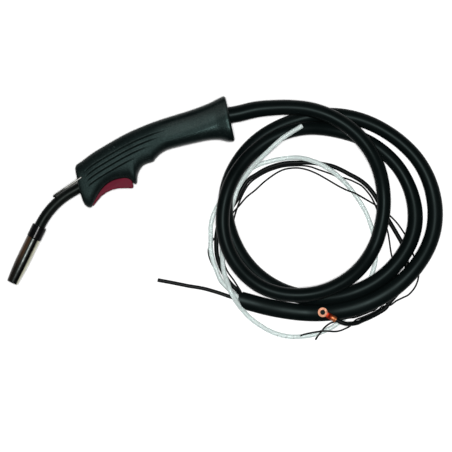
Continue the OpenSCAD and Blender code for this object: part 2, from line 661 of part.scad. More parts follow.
module trigger() {
    color([0.42, 0.1, 0.2]) on_handle() difference() {
        union() {
            translate([0, 0, -trigger_width / 2]) linear_extrude(trigger_width)
                polygon(stretched([[13, -26], [15.2, -25.2], [19.5, -21.6], [26.5, -16.3],
                    [33.5, -13], [41.5, -11.2], [49.5, -11.1], [56, -12.2], [62, -13.6],
                    [67, -14.7], [68.6, -14.2], [69.3, -12.6], [69.4, -8], [68.6, -3.6],
                    [66, -0.6], [62.5, 0.6], [46, 0.6], [34, -4.2], [24, -11], [14, -15.6],
                    [11, -16]]));
            hull() for (x = [0, trigger_boss_d])
                translate([trigger_pivot[0] + x, trigger_pivot[1], 0])
                    cylinder(d = trigger_boss_d, h = trigger_boss_length, center = true);
        }
        translate([trigger_pivot[0], trigger_pivot[1], -trigger_width])
            cylinder(d = trigger_pin_d + 2 * running_gap, h = 2 * trigger_width);
    }
}

module trigger_pin() {
    color("silver") on_handle() translate([trigger_pivot[0], trigger_pivot[1], 0])
        cylinder(d = trigger_pin_d, h = trigger_pin_length, center = true);
}

module microswitch_body() {
    color([0.15, 0.15, 0.16]) on_handle() difference() {
        translate([switch_place[0], switch_place[1], -switch_size[2] / 2]) cube(switch_size);
        for (post = switch_posts)
            translate([switch_place[0] + post[0], switch_place[1] + post[1], 0])
                cylinder(d = 2.4, h = 2 * switch_size[2], center = true);
        translate([plunger_x, switch_place[1] - 1, 0]) rotate([-90, 0, 0])
            cylinder(d = plunger_d + 2 * running_gap, h = 6.4);
    }
}

module switch_plunger() {
    color([0.6, 0.15, 0.12]) on_handle()
        translate([plunger_x, switch_place[1] - plunger_reach, 0]) rotate([-90, 0, 0])
            cylinder(d = plunger_d, h = plunger_reach + 1.4);
}

module switch_terminals() {
    color([0.8, 0.65, 0.3]) on_handle()
        for (y = lead_heights)
            translate([switch_place[0] + switch_size[0], switch_place[1] + y, -1.5])
                cube([4, 0.6, 3]);
}

// Point on the handle's side as a point of the model
function side_point(x, y, z) =
    [handle_place[0] + x * cos(handle_turn) - y * sin(handle_turn),
        handle_place[1] + x * sin(handle_turn) + y * cos(handle_turn), mid_z + z];
function drawn_point(x, y, z) = side_point(x * handle_length / drawn_length, y, z);
function gland_point(along, across, z) =
    side_point(handle_length + along * cos(gland_turn) - across * sin(gland_turn),
        gland_y + along * sin(gland_turn) + across * cos(gland_turn), z);
function neck_point(along, across, z) =
    side_point(along * cos(neck_turn) - across * sin(neck_turn),
        along * sin(neck_turn) + across * cos(neck_turn), z);

module switch_leads() {
    color([0.2, 0.2, 0.2]) for (k = [0, 1]) {
        start = switch_place + [switch_size[0] + 4.4, lead_heights[k] + 0.3];
        cord([side_point(start[0], start[1], 0), side_point(start[0] + 5, start[1] + 4, 0),
            drawn_point(100, 23 + 3 * k, 0), drawn_point(140, 34 + 3 * k, 0),
            gland_point(-45, 2.4 * k - 6, 0), gland_point(-sheath_inside, 2.4 * k - 6, 0)],
            wire_d, 8);
    }
}

// Gas hose and power cable run side by side from the block's ferrules to the cable
module inner_line(side, d) {
    cord([neck_point(block_rear + 2.1, ferrule_place[0], side * ferrule_place[1]),
        neck_point(block_rear + 14, ferrule_place[0], side * ferrule_place[1]),
        drawn_point(78, 26, side * ferrule_place[1]), drawn_point(108, 34.5, side * 5),
        drawn_point(140, 42.6, side * 4), gland_point(-45, 0, side * 3.5),
        gland_point(-sheath_inside, 0, side * 3.5)], d, 8);
}

module inner_gas_hose() {
    color([0.8, 0.88, 0.86]) inner_line(1, hose_d);
}

module inner_power_cable() {
    color([0.1, 0.1, 0.1]) inner_line(-1, power_d);
}

module inner_liner() {
    color([0.12, 0.12, 0.12])
        cord([neck_point(block_rear + 0.1, 0, 0), neck_point(block_rear + 10, 0, 0),
            drawn_point(56, 19.2, 0), drawn_point(78, 26.4, 0), drawn_point(108, 37.5, 0),
            drawn_point(140, 47.2, 0), gland_point(-45, 4.6, 0),
            gland_point(-sheath_inside, 5, 0)], liner_d, 8);
}

// ---------- hook ----------

module hanging_hook() {
    leg_z = side_z(hook_pivot) + 2 * free_gap + hook_wire_d / 2;
    reach = hook_length - hook_corner;
    color("silver") on_handle() translate([hook_pivot[0], hook_pivot[1], 0])
        rotate([0, 0, hook_angle]) {
            translate([hook_length, 0, -leg_z + hook_corner])
                cylinder(d = hook_wire_d, h = 2 * (leg_z - hook_corner));
            for (side = [-1, 1]) {
                // Leg, closed-end corner, and the pivot bent into the shell
                translate([0, 0, side * leg_z]) bar_x(0, reach, hook_wire_d);
                translate([reach, 0, side * (leg_z - hook_corner)]) rotate([90, 0, 0])
                    rotate_extrude(angle = 90, start = side > 0 ? 0 : 270)
                        translate([hook_corner, 0]) circle(d = hook_wire_d, $fn = 24);
                translate([0, 0, side * leg_z]) sphere(d = hook_wire_d, $fn = 24);
                translate([0, 0, side > 0 ? leg_z - 6 : -leg_z])
                    cylinder(d = hook_wire_d, h = 6, $fn = 24);
            }
        }
}

// ---------- cables ----------

module cable_clamp() {
    color([0.2, 0.2, 0.2]) on_gland() difference() {
        bar_x(-20, -10, sheath_d + 6);
        bar_x(-21, -9, sheath_d);
    }
}

gland_way = gland_point(1, 0, 0) - gland_point(0, 0, 0);

module cable_lead() {
    color([0.05, 0.06, 0.06])
        cord(concat([gland_point(-sheath_inside, 0, 0), gland_point(12, 0, 0)], lead_route,
            [coil_route[0]]), sheath_d, 12, gland_way, coil_way);
}

module cable_coil() {
    fine = wound(coil_radius, coil_height, coil_fine);
    echo(coil_least_gap = least_gap(fine, 4 * coil_fine, sheath_d));
    color([0.05, 0.06, 0.06]) cord(coil_route, sheath_d, 12);
}

module power_cable() {
    color([0.08, 0.08, 0.08]) cord(power_route, power_d, 8, cut_way);
}

// Hose: its cut end shows the bore
module gas_hose() {
    last = len(hose_route) - 1;
    color([0.8, 0.88, 0.86]) difference() {
        cord(hose_route, hose_d, 8, cut_way);
        towards(hose_route[last - 1], hose_route[last])
            translate([0, 0, norm(hose_route[last] - hose_route[last - 1]) - hose_bore_depth])
                cylinder(d = hose_bore_d, h = hose_bore_depth + 1);
    }
}

module trigger_wire_a() {
    color([0.1, 0.1, 0.1]) cord(wire_a_route, wire_d, 8, cut_way);
}

module trigger_wire_b() {
    color([0.1, 0.1, 0.1]) cord(wire_b_route, wire_d, 8, cut_way);
}

// Liner: its cut end shows the channel that the welding wire runs in
module wire_liner() {
    last = len(liner_route) - 1;
    color([0.08, 0.08, 0.08]) difference() {
        cord(liner_route, liner_d, 8, cut_way);
        towards(liner_route[last - 1], liner_route[last])
            translate([0, 0, norm(liner_route[last] - liner_route[last - 1]) - hose_bore_depth])
                cylinder(d = liner_bore_d, h = hose_bore_depth + 1);
    }
}

// Ring terminal crimped on the power cable, its plate level
module ring_terminal() {
    last = len(power_route) - 1;
    way = power_route[last] - power_route[last - 1];
    color([0.85, 0.45, 0.25]) translate(power_route[last]) rotate([0, 0, atan2(way[1], way[0])])
        difference() {
            union() {
                bar_x(-lug_barrel_length, 3, lug_barrel_d);
                translate([0, -lug_barrel_d / 2, -lug_thickness / 2])
                    cube([lug_reach, lug_barrel_d, lug_thickness]);
                translate([lug_reach, 0, 0])
                    cylinder(d = lug_ring_d, h = lug_thickness, center = true);
            }
            bar_x(-lug_barrel_length - 1, 0.1, power_d + 2 * running_gap);
            translate([lug_reach, 0, 0])
                cylinder(d = lug_hole_d, h = 2 * lug_thickness, center = true);
        }
}

handle_upper_shell();
handle_lower_shell();
handle_screws();
neck_sleeve();
neck_tube();
neck_connector();
nozzle_insulator();
nozzle_spring();
tip_holder();
contact_tip();
gas_nozzle();
trigger();
trigger_pin();
microswitch_body();
switch_plunger();
switch_terminals();
switch_leads();
hanging_hook();
inner_gas_hose();
inner_power_cable();
inner_liner();
cable_clamp();
cable_lead();
cable_coil();
gas_hose();
power_cable();
ring_terminal();
wire_liner();
trigger_wire_a();
trigger_wire_b();
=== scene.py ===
import bpy
import bmesh
from math import sin, cos, pi, radians, sqrt
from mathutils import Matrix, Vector


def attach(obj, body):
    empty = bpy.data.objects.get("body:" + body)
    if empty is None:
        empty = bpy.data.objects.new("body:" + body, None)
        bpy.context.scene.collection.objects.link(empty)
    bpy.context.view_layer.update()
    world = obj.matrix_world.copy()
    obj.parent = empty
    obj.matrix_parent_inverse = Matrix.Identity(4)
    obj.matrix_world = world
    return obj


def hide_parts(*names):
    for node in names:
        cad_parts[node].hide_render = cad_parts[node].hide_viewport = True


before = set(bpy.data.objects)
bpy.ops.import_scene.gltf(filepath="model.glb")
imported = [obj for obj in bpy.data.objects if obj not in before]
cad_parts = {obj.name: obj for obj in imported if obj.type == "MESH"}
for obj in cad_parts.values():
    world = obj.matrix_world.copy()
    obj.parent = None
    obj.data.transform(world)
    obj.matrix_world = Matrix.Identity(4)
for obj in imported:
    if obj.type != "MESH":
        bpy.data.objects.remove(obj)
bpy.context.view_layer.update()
mm = 0.001
up = Vector((0, 0, 1))


def pick(piece):
    bpy.ops.object.select_all(action="DESELECT")
    piece.select_set(True)
    bpy.context.view_layer.objects.active = piece


def smoothShade(piece, degrees):
    pick(piece)
    bpy.ops.object.shade_smooth_by_angle(angle=radians(degrees))


print("camera")
# Straight above the torch and its coil, with the lens and the sensor in millimetres
view = {"x": 0.1335, "y": -0.0447, "height": 2.412, "lens": 150.0, "sensor": 36.0, "clip": 50}
bpy.ops.object.camera_add(location=(view["x"], view["y"], view["height"]), rotation=(0, 0, 0))
camera = bpy.context.object
camera.data.lens = view["lens"]
camera.data.sensor_width = view["sensor"]
camera.data.clip_end = view["clip"]
bpy.context.scene.camera = camera


# A node with its inputs set, or linked where a value is another node's output
def node(tree, kind, values=None, **settings):
    made = tree.nodes.new(kind)
    for name, value in settings.items():
        setattr(made, name, value)
    for name, value in (values or {}).items():
        if isinstance(value, bpy.types.NodeSocket):
            tree.links.new(value, made.inputs[name])
        else:
            made.inputs[name].default_value = value
    return made


def math(tree, operation, a, b=0.5, c=0.5, clamp=False):
    return node(tree, "ShaderNodeMath", {0: a, 1: b, 2: c}, operation=operation,
                use_clamp=clamp).outputs[0]


def remap(tree, value, low, high, outLow=0.0, outHigh=1.0, soft=False):
    kind = "SMOOTHSTEP" if soft else "LINEAR"
    return node(tree, "ShaderNodeMapRange", {"Value": value, "From Min": low, "From Max": high,
                "To Min": outLow, "To Max": outHigh}, interpolation_type=kind).outputs["Result"]


def noiseOf(tree, vector, scale, detail=4.0, roughness=0.55, distortion=0.0):
    return node(tree, "ShaderNodeTexNoise", {"Vector": vector, "Scale": scale, "Detail": detail,
                "Roughness": roughness, "Distortion": distortion}).outputs["Fac"]


def mixColour(tree, factor, first, second):
    made = node(tree, "ShaderNodeMix", data_type="RGBA")
    for place, value in ((0, factor), (6, first), (7, second)):
        if isinstance(value, bpy.types.NodeSocket):
            tree.links.new(value, made.inputs[place])
        else:
            made.inputs[place].default_value = value
    return made.outputs[2]


def newGroup(name, inputs, outputs):
    tree = bpy.data.node_groups.new(name, "ShaderNodeTree")
    for label, kind, value in inputs:
        socket = tree.interface.new_socket(label, in_out="INPUT", socket_type=kind)
        if value is not None:
            socket.default_value = value
    for label, kind in outputs:
        tree.interface.new_socket(label, in_out="OUTPUT", socket_type=kind)
    return tree, tree.nodes.new("NodeGroupInput").outputs, tree.nodes.new("NodeGroupOutput").inputs


number, vectorKind = "NodeSocketFloat", "NodeSocketVector"

# Grain of a moulded or drawn surface: a fine height, and a slow mottle of 0 to 1
grainGroup, taken, given = newGroup("surfaceGrain", [
    ("Vector", vectorKind, None), ("Fine Scale", number, 900.0), ("Mottle Scale", number, 90.0),
    ("Mottle Softness", number, 0.5)], [("Height", number), ("Mottle", number)])
fineNoise = noiseOf(grainGroup, taken["Vector"], taken["Fine Scale"], 3.0, 0.6)
slowNoise = noiseOf(grainGroup, taken["Vector"], taken["Mottle Scale"], 5.0, 0.62)
half = math(grainGroup, "MULTIPLY", taken["Mottle Softness"], 0.5)
mottle = remap(grainGroup, slowNoise, math(grainGroup, "SUBTRACT", 0.62, half),
               math(grainGroup, "ADD", 0.42, half), 1.0, 0.0)
grainGroup.links.new(fineNoise, given["Height"])
grainGroup.links.new(mottle, given["Mottle"])

# Dust and scuffs: specks in broken patches and thin scratches, as one mask
wearGroup, taken, given = newGroup("dustAndScuffs", [
    ("Vector", vectorKind, None), ("Patch Scale", number, 30.0), ("Speck Scale", number, 500.0),
    ("Amount", number, 0.5)], [("Mask", number)])
patches = remap(wearGroup, noiseOf(wearGroup, taken["Vector"], taken["Patch Scale"], 6.0, 0.7),
                0.48, 0.72)
specks = remap(wearGroup, noiseOf(wearGroup, taken["Vector"], taken["Speck Scale"], 2.0, 0.5),
               0.56, 0.7)
stretch = node(wearGroup, "ShaderNodeMapping", {"Vector": taken["Vector"],
               "Rotation": (0.3, 0.2, 0.6), "Scale": (1.0, 9.0, 4.0)}).outputs["Vector"]
scratches = remap(wearGroup, noiseOf(wearGroup, stretch, 160.0, 2.0, 0.5, 0.4), 0.66, 0.72)
together = math(wearGroup, "MAXIMUM", math(wearGroup, "MULTIPLY", patches, specks),
                math(wearGroup, "MULTIPLY", scratches, 0.6))
wearGroup.links.new(math(wearGroup, "MULTIPLY", together, taken["Amount"], clamp=True),
                    given["Mask"])


def grain(tree, vector, fine, slow, softness=0.5):
    return node(tree, "ShaderNodeGroup", {"Vector": vector, "Fine Scale": fine,
                "Mottle Scale": slow, "Mottle Softness": softness},
                node_tree=grainGroup).outputs


def wear(tree, vector, amount):
    return node(tree, "ShaderNodeGroup", {"Vector": vector, "Amount": amount},
                node_tree=wearGroup).outputs["Mask"]


def startMaterial(name, look):
    made = bpy.data.materials.new(name)
    made.use_nodes = True
    tree = made.node_tree
    tree.nodes.clear()
    shader = node(tree, "ShaderNodeBsdfPrincipled", look)
    node(tree, "ShaderNodeOutputMaterial", {"Surface": shader.outputs["BSDF"]})
    place = node(tree, "ShaderNodeTexCoord").outputs["Object"]
    return made, tree, shader, place


def bump(tree, height, strength, distance, normal=None):
    values = {"Height": height, "Strength": strength, "Distance": distance}
    if normal is not None:
        values["Normal"] = normal
    return node(tree, "ShaderNodeBump", values).outputs["Normal"]


# Links a material's colour, roughness and normal to its shader
def feed(tree, shader, colour, roughness, normal):
    for label, value in (("Base Color", colour), ("Roughness", roughness), ("Normal", normal)):
        tree.links.new(value, shader.inputs[label])


# A plain material from its look: two colours mottled together, fine grain and maybe dust
def mottled(name, look):
    made, tree, shader, place = startMaterial(name, {
        "Base Color": look["colour"], "Metallic": look.get("metal", 0),
        "Specular IOR Level": look.get("specular", 0.5),
        "Specular Tint": look.get("tint", (1, 1, 1, 1)), **look.get("shader", {})})
    out = grain(tree, place, look["fine"], look["slow"], look.get("softness", 0.5))
    colour = mixColour(tree, out["Mottle"], look["colour"], look["second"])
    roughness = between(tree, out["Mottle"], look["rough"])
    if "dust" in look:
        mask = wear(tree, place, look["dust"])
        colour = mixColour(tree, mask, colour, look["dustColour"])
        roughness = math(tree, "ADD", roughness, math(tree, "MULTIPLY", mask, 0.3), clamp=True)
    feed(tree, shader, colour, roughness,
         bump(tree, out["Height"], look.get("strength", 0.5), look["bump"]))
    return made


def clamped(value):
    return min(max(value, 0.0), 1.0)


# Catmull-Rom curve through points, with a number of steps from each to the next
def smoothLine(points, steps):
    out = []
    for i in range(len(points) - 1):
        p1, p2 = Vector(points[i]), Vector(points[i + 1])
        p0 = Vector(points[i - 1]) if i > 0 else 2 * p1 - p2
        p3 = Vector(points[i + 2]) if i + 2 < len(points) else 2 * p2 - p1
        for k in range(steps):
            t = k / steps
            out.append((2 * p1 + (p2 - p0) * t + (2 * p0 - 5 * p1 + 4 * p2 - p3) * t ** 2
                        + (3 * p1 - p0 - 3 * p2 + p3) * t ** 3) / 2)
    out.append(Vector(points[-1]))
    return out


# Height at x of a smooth line through points that are not evenly spaced
def lineAt(line, x):
    last = len(line) - 1
    i = max([k for k in range(last) if line[k][0] <= x] or [0])
    p0, p1, p2, p3 = line[max(i - 1, 0)], line[i], line[i + 1], line[min(i + 2, last)]
    span = p2[0] - p1[0]
    t = clamped((x - p1[0]) / span)
    m1 = (p2[1] - p0[1]) / (p2[0] - p0[0]) * span
    m2 = (p3[1] - p1[1]) / (p3[0] - p1[0]) * span
    return (p1[1] * (2 * t ** 3 - 3 * t ** 2 + 1) + m1 * (t ** 3 - 2 * t ** 2 + t)
            + p2[1] * (3 * t ** 2 - 2 * t ** 3) + m2 * (t ** 3 - t ** 2))


# Distance along a path to each of its points
def lengthsAlong(path):
    out = [0.0]
    for a, b in zip(path, path[1:]):
        out.append(out[-1] + (b - a).length)
    return out


# Directions at each point of a path: along it, to its right and up
def framesOf(path):
    out = []
    for i, point in enumerate(path):
        before, after = path[max(i - 1, 0)], path[min(i + 1, len(path) - 1)]
        way = (after - before).normalized()
        right = way.cross(up).normalized()
        out.append((way, right, right.cross(way)))
    return out


# Rings of points become a skin: each ring repeats its first point at its end when it closes,
# and the marks give each point's UV
def loft(name, rings, marks):
    rows, columns = len(rings) - 1, len(rings[0]) - 1
    bpy.ops.mesh.primitive_grid_add(x_subdivisions=columns, y_subdivisions=rows, size=2)
    piece = bpy.context.object
    piece.name = piece.data.name = name
    data = piece.data
    places = [(round((v.co.x + 1) / 2 * columns), round((v.co.y + 1) / 2 * rows))
              for v in data.vertices]
    layer = data.uv_layers[0].data
    for loop in data.loops:
        i, j = places[loop.vertex_index]
        layer[loop.index].uv = marks[j][i]
    for vertex, (i, j) in zip(data.vertices, places):
        vertex.co = rings[j][i]
    shaped = bmesh.new()
    shaped.from_mesh(data)
    bmesh.ops.remove_doubles(shaped, verts=shaped.verts, dist=1e-7)
    bmesh.ops.dissolve_degenerate(shaped, edges=shaped.edges, dist=1e-7)
    bmesh.ops.recalc_face_normals(shaped, faces=shaped.faces)
    shaped.to_mesh(data)
    shaped.free()
    smoothShade(piece, 60)
    return piece


# End faces of a tube: how far its edge stands back, the share of the width that stays flat,
# and how far the two edges of a hollow rim stand back
tubeEnd = {"edge": 0.0002, "startFlat": 0.82, "endFlat": 0.85, "rim": 0.0003}


# A tube along a path: reach(i, angle) is the distance from its middle to the right and up.
# A hollow end goes in by a depth, and its rim is pushed along by ragged(angle)
def tube(name, path, sides, reach, wall=0.0, depth=0.0, ragged=None):
    frames = framesOf(path)
    along = lengthsAlong(path)
    angles = [2 * pi * k / sides for k in range(sides)] + [0.0]
    last = len(path) - 1
    rings, marks = [], []

    def addRing(i, scale, push=None, shift=0.0):
        way, right, top = frames[i]
        ring = []
        for a in angles:
            wide, high = reach(i, a)
            point = path[i] + right * (wide * scale * cos(a)) + top * (high * scale * sin(a))
            point += way * (shift + (push(a) if push else 0.0))
            ring.append(point)
        rings.append(ring)
        marks.append([(k / sides, along[i] + shift) for k in range(sides + 1)])

    addRing(0, 0.0)
    addRing(0, tubeEnd["startFlat"])
    addRing(0, 1.0, shift=tubeEnd["edge"])
    for i in range(1, last):
        addRing(i, 1.0)
    if depth:
        outside = reach(last, 0.0)[0]
        inside = (outside - wall) / outside
        addRing(last, 1.0, ragged, -tubeEnd["rim"])
        addRing(last, (1 + inside * 3) / 4, ragged)
        addRing(last, inside, ragged, -tubeEnd["rim"])
        addRing(last, inside, None, -depth)
        addRing(last, 0.0, None, -depth)
    else:
        addRing(last, 1.0, shift=-tubeEnd["edge"])
        addRing(last, tubeEnd["endFlat"])
        addRing(last, 0.0)
    return loft(name, rings, marks)


def applyModifier(piece, kind, **settings):
    pick(piece)
    made = piece.modifiers.new(kind.title(), kind)
    for name, value in settings.items():
        setattr(made, name, value)
    bpy.ops.object.modifier_apply(modifier=made.name)


def bevel(piece, width, steps):
    applyModifier(piece, "BEVEL", width=width * mm, segments=steps, limit_method="ANGLE",
                  angle_limit=radians(50))


def cutWith(piece, cutter, operation="DIFFERENCE"):
    applyModifier(piece, "BOOLEAN", operation=operation, object=cutter, solver="EXACT")


def dropPieces(*made):
    for piece in made:
        bpy.data.objects.remove(piece, do_unlink=True)


# A piece gets its material, the body that it rides on and the solids that it stands for
def finishPiece(piece, body, slot, *nodes):
    piece.data.materials.clear()
    piece.data.materials.append(looks[slot])
    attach(piece, body)
    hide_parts(*nodes)


# Handle, in millimetres in its own frame: x runs to its rear, y to its top and z is 0 where
# the shells meet. Its outlines are drawn from front to rear
handle = {
    "place": (-54.45, 3.05), "turn": 12.5, "midZ": 20.5, "length": 207.5, "corner": 3.0,
    "front": 2.3, "frontEdge": 2.5, "rearEdge": 3.0, "wall": 2.5, "flareHalf": 20.5,
    "glandY": 49, "glandTurn": -2.5, "neckTurn": 17.5,
    "top": [(2.3, 27.2), (5, 29.6), (12, 32.5), (27, 39.2), (50, 47), (74, 54.2), (96, 58.8),
            (118, 62), (137, 63.8), (161, 65.8), (185, 69.2), (200, 73), (207.5, 74.5)],
    "bottom": [(2.3, -13.5), (3.2, -19.5), (5.5, -24.3), (8.5, -26.7), (12, -27), (15, -24.8),
               (18.5, -20.4), (24, -14), (30, -8.4), (36, -4.4), (44, -1.3), (52, -0.2),
               (59, -0.6), (64, -2), (67.5, -4.6), (69.8, -8.2), (71.6, -10.2), (73.4, -10.8),
               (75, -8.6), (76, -4.6), (77.4, -0.6), (79.8, 3.5), (84, 8.1), (88, 10.6),
               (93, 11.7), (98, 12), (101, 12.5), (104, 15.2), (107.5, 17.6), (112, 20.1),
               (119, 22.5), (128, 23.5), (158, 24), (176, 23.5), (189, 21), (199, 16.5),
               (207.5, 15)],
    "cavity": [(2.3, -13), (4.8, -20.4), (6.4, -22.4), (8.6, -23.8), (12, -23.9), (15, -21.6),
               (24, -11.2), (30, -5.6), (36, -1.6), (44, 1.6), (52, 2.8), (62, 2.8), (73, 3.6),
               (80, 7.4), (84, 11.4), (88, 13.8), (93, 14.8), (98, 15.2), (104, 18.4),
               (107.5, 20.9), (112, 23.4), (119, 25.8), (128, 26.6), (134, 26.8), (158, 27.4),
               (176, 27), (189, 25), (207.5, 21)],
    "thickness": [(0, 14), (8, 15.1), (40, 16.5), (90, 16.3), (130, 16.5), (165, 17.1),
                  (188, 18.1), (203, 20.5), (207.5, 20.5)],
}


def turned(x, y, degrees):  # about the origin
    a = radians(degrees)
    return x * cos(a) - y * sin(a), x * sin(a) + y * cos(a)


def onHandle(x, y, z=0.0):
    x, y = turned(x, y, handle["turn"])
    return Vector((handle["place"][0] + x, handle["place"][1] + y, handle["midZ"] + z)) * mm


# A place by its distance out of the rear face, along the cable
def onGland(along):
    x, y = turned(along, 0, handle["glandTurn"])
    return onHandle(handle["length"] + x, handle["glandY"] + y)


def handleTop(x):
    return lineAt(handle["top"], x)


def handleBottom(x):
    return lineAt(handle["bottom"], x)


def handleHalf(x):
    return min(lineAt(handle["thickness"], x), handle["flareHalf"])


print("cords")
# The cable's turns, clockwise from above: the distance from the coil's centre and the height
# at every step of 30 degrees. A nudge moves one of the fine points between the steps outwards
coil = {
    "centre": (259, -24), "first": 110, "step": 30, "fine": 3, "r": 8.5,
    "radius": [138, 113, 92.5, 79, 74.5, 79, 91, 108, 127, 132.5, 126, 116, 108, 101.5, 104.5,
               111, 116.5, 113, 111, 112.5, 118, 122.5, 127, 124, 120, 122, 127.5, 137.5, 141.5,
               135, 130, 133, 153],
    "height": [25, 28, 25.5, 18, 16.8, 16, 23.5, 27, 27.5, 33.8, 33.8, 24.5, 22, 12, 8.5, 8.5,
               13, 16.6, 16.4, 8.5, 8.5, 16, 16, 8.7, 8.5, 8.5, 8.5, 8.5, 12, 16.4, 16, 8.5,
               8.5],
    "nudge": {14: 0.6, 15: 0.9, 16: 1, 17: 1, 18: 0.9, 19: 0.7, 20: 0.8, 21: 0.8, 22: 0.5,
              48: 0.2, 49: 0.5, 50: 0.8, 51: 0.9, 52: 0.8, 53: 0.6, 54: 0.6, 55: 0.9, 56: 1.1,
              57: 1.1, 58: 0.9, 59: 0.4, 89: 0.3, 90: 0.4, 91: 0.5, 92: 0.8, 93: 0.5,
              94: -1.2, 95: -2.2},
}
coilLine = smoothLine([(r, h, 0) for r, h in zip(coil["radius"], coil["height"])],
                      coil["fine"])
coilPoints = []
for i, knot in enumerate(coilLine):
    r = knot.x + coil["nudge"].get(i, 0)
    a = radians(coil["first"] - coil["step"] * i / coil["fine"])
    coilPoints.append(Vector((coil["centre"][0] + r * cos(a), coil["centre"][1] + r * sin(a),
                              max(knot.y, coil["r"]))) * mm)

# The sheath is thickest where it leaves the handle, and its last stretch lies flattened.
# Radii are millimetres by metres from its start, which is inside the handle, and the flat
# and free distances are metres from its cut end
sheath = {
    "inside": 25, "lead": [(171, 103, 21.8), (190, 105, 23.2)], "steps": 4, "sides": 40,
    "wall": 1.7, "depth": 14, "rimReach": 9, "flatWide": 10.8, "flatHigh": 6.2,
    "flatRun": 0.15, "flatStart": 0.26, "roundUntil": 0.3,
    "freeBelow": 0.0125, "freeOver": 0.004, "freeFrom": 0.012, "freeRun": 0.03,
    "radii": [(0, 10.4), (0.055, 10.4), (0.095, 9.6), (0.175, 9.4), (0.255, 8.9),
              (0.33, 8.8), (0.45, 9.1), (0.6, 8.8), (0.95, 8.8), (1, 9.7), (1.2, 9.7),
              (1.27, 9.3), (1.44, 9.2), (1.48, 8.9), (1.56, 9.2), (1.69, 9), (1.76, 9.8),
              (3, 9.8)],
    "rim": {"mean": 4.9, "right": 4.75, "top": 4.4, "oval": 2.2},
    "teeth": [(0.7, 5, 2.1), (0.5, 9, 0), (0.4, 13, 1)],
}
sheathPoints = ([onGland(x) for x in (-sheath["inside"], -12, 0, 12)]
                + [Vector(p) * mm for p in sheath["lead"]] + coilPoints)
sheathPath = smoothLine(sheathPoints, sheath["steps"])
for point in sheathPath:
    point.z = max(point.z, coil["r"] * mm)
sheathAlong = lengthsAlong(sheathPath)
sheathLength = sheathAlong[-1]


# 0 where the sheath is round, 1 where it lies flat
def flatness(s):
    left = clamped((sheath["flatStart"] - (sheathLength - s))
                   / (sheath["flatStart"] - sheath["flatRun"]))
    return left * left * (3 - 2 * left)


# The flattened end lies lower, where nothing is under it
for point, s in zip(sheathPath, sheathAlong):
    free = (clamped((sheath["freeBelow"] - point.z) / sheath["freeOver"])
            * clamped((sheathLength - s - sheath["freeFrom"]) / sheath["freeRun"]))
    point.z -= (coil["r"] - sheath["flatHigh"]) * mm * flatness(s) * free


# Half width and half height of the sheath at a point of its path
def sheathReach(i, angle):
    s = sheathAlong[i]
    r = lineAt(sheath["radii"], s)
    flat = flatness(s)
    high = r if s < sheath["roundUntil"] else coil["r"]
    return ((r + (sheath["flatWide"] - r) * flat) * mm,
            (high + (sheath["flatHigh"] - high) * flat) * mm)


# How far the cut rim stands past the cut, round the sheath
def raggedEnd(angle):
    rim = sheath["rim"]
    out = (rim["mean"] + rim["right"] * cos(angle) + rim["top"] * sin(angle)
           - rim["oval"] * cos(2 * angle))
    for size, count, shift in sheath["teeth"]:
        out += size * sin(count * angle + shift)
    return out * mm


sheathPiece = tube("sheath", sheathPath, sheath["sides"], sheathReach, sheath["wall"] * mm,
                   sheath["depth"] * mm, raggedEnd)

# Directions of the sheath's cut face, from which the tails leave
cutPoint = sheathPath[-1]
cutWay, cutRight = framesOf(sheathPath)[-1][:2]


def fromCut(right, high):
    return cutPoint + cutRight * right * mm + Vector((0, 0, high * mm))


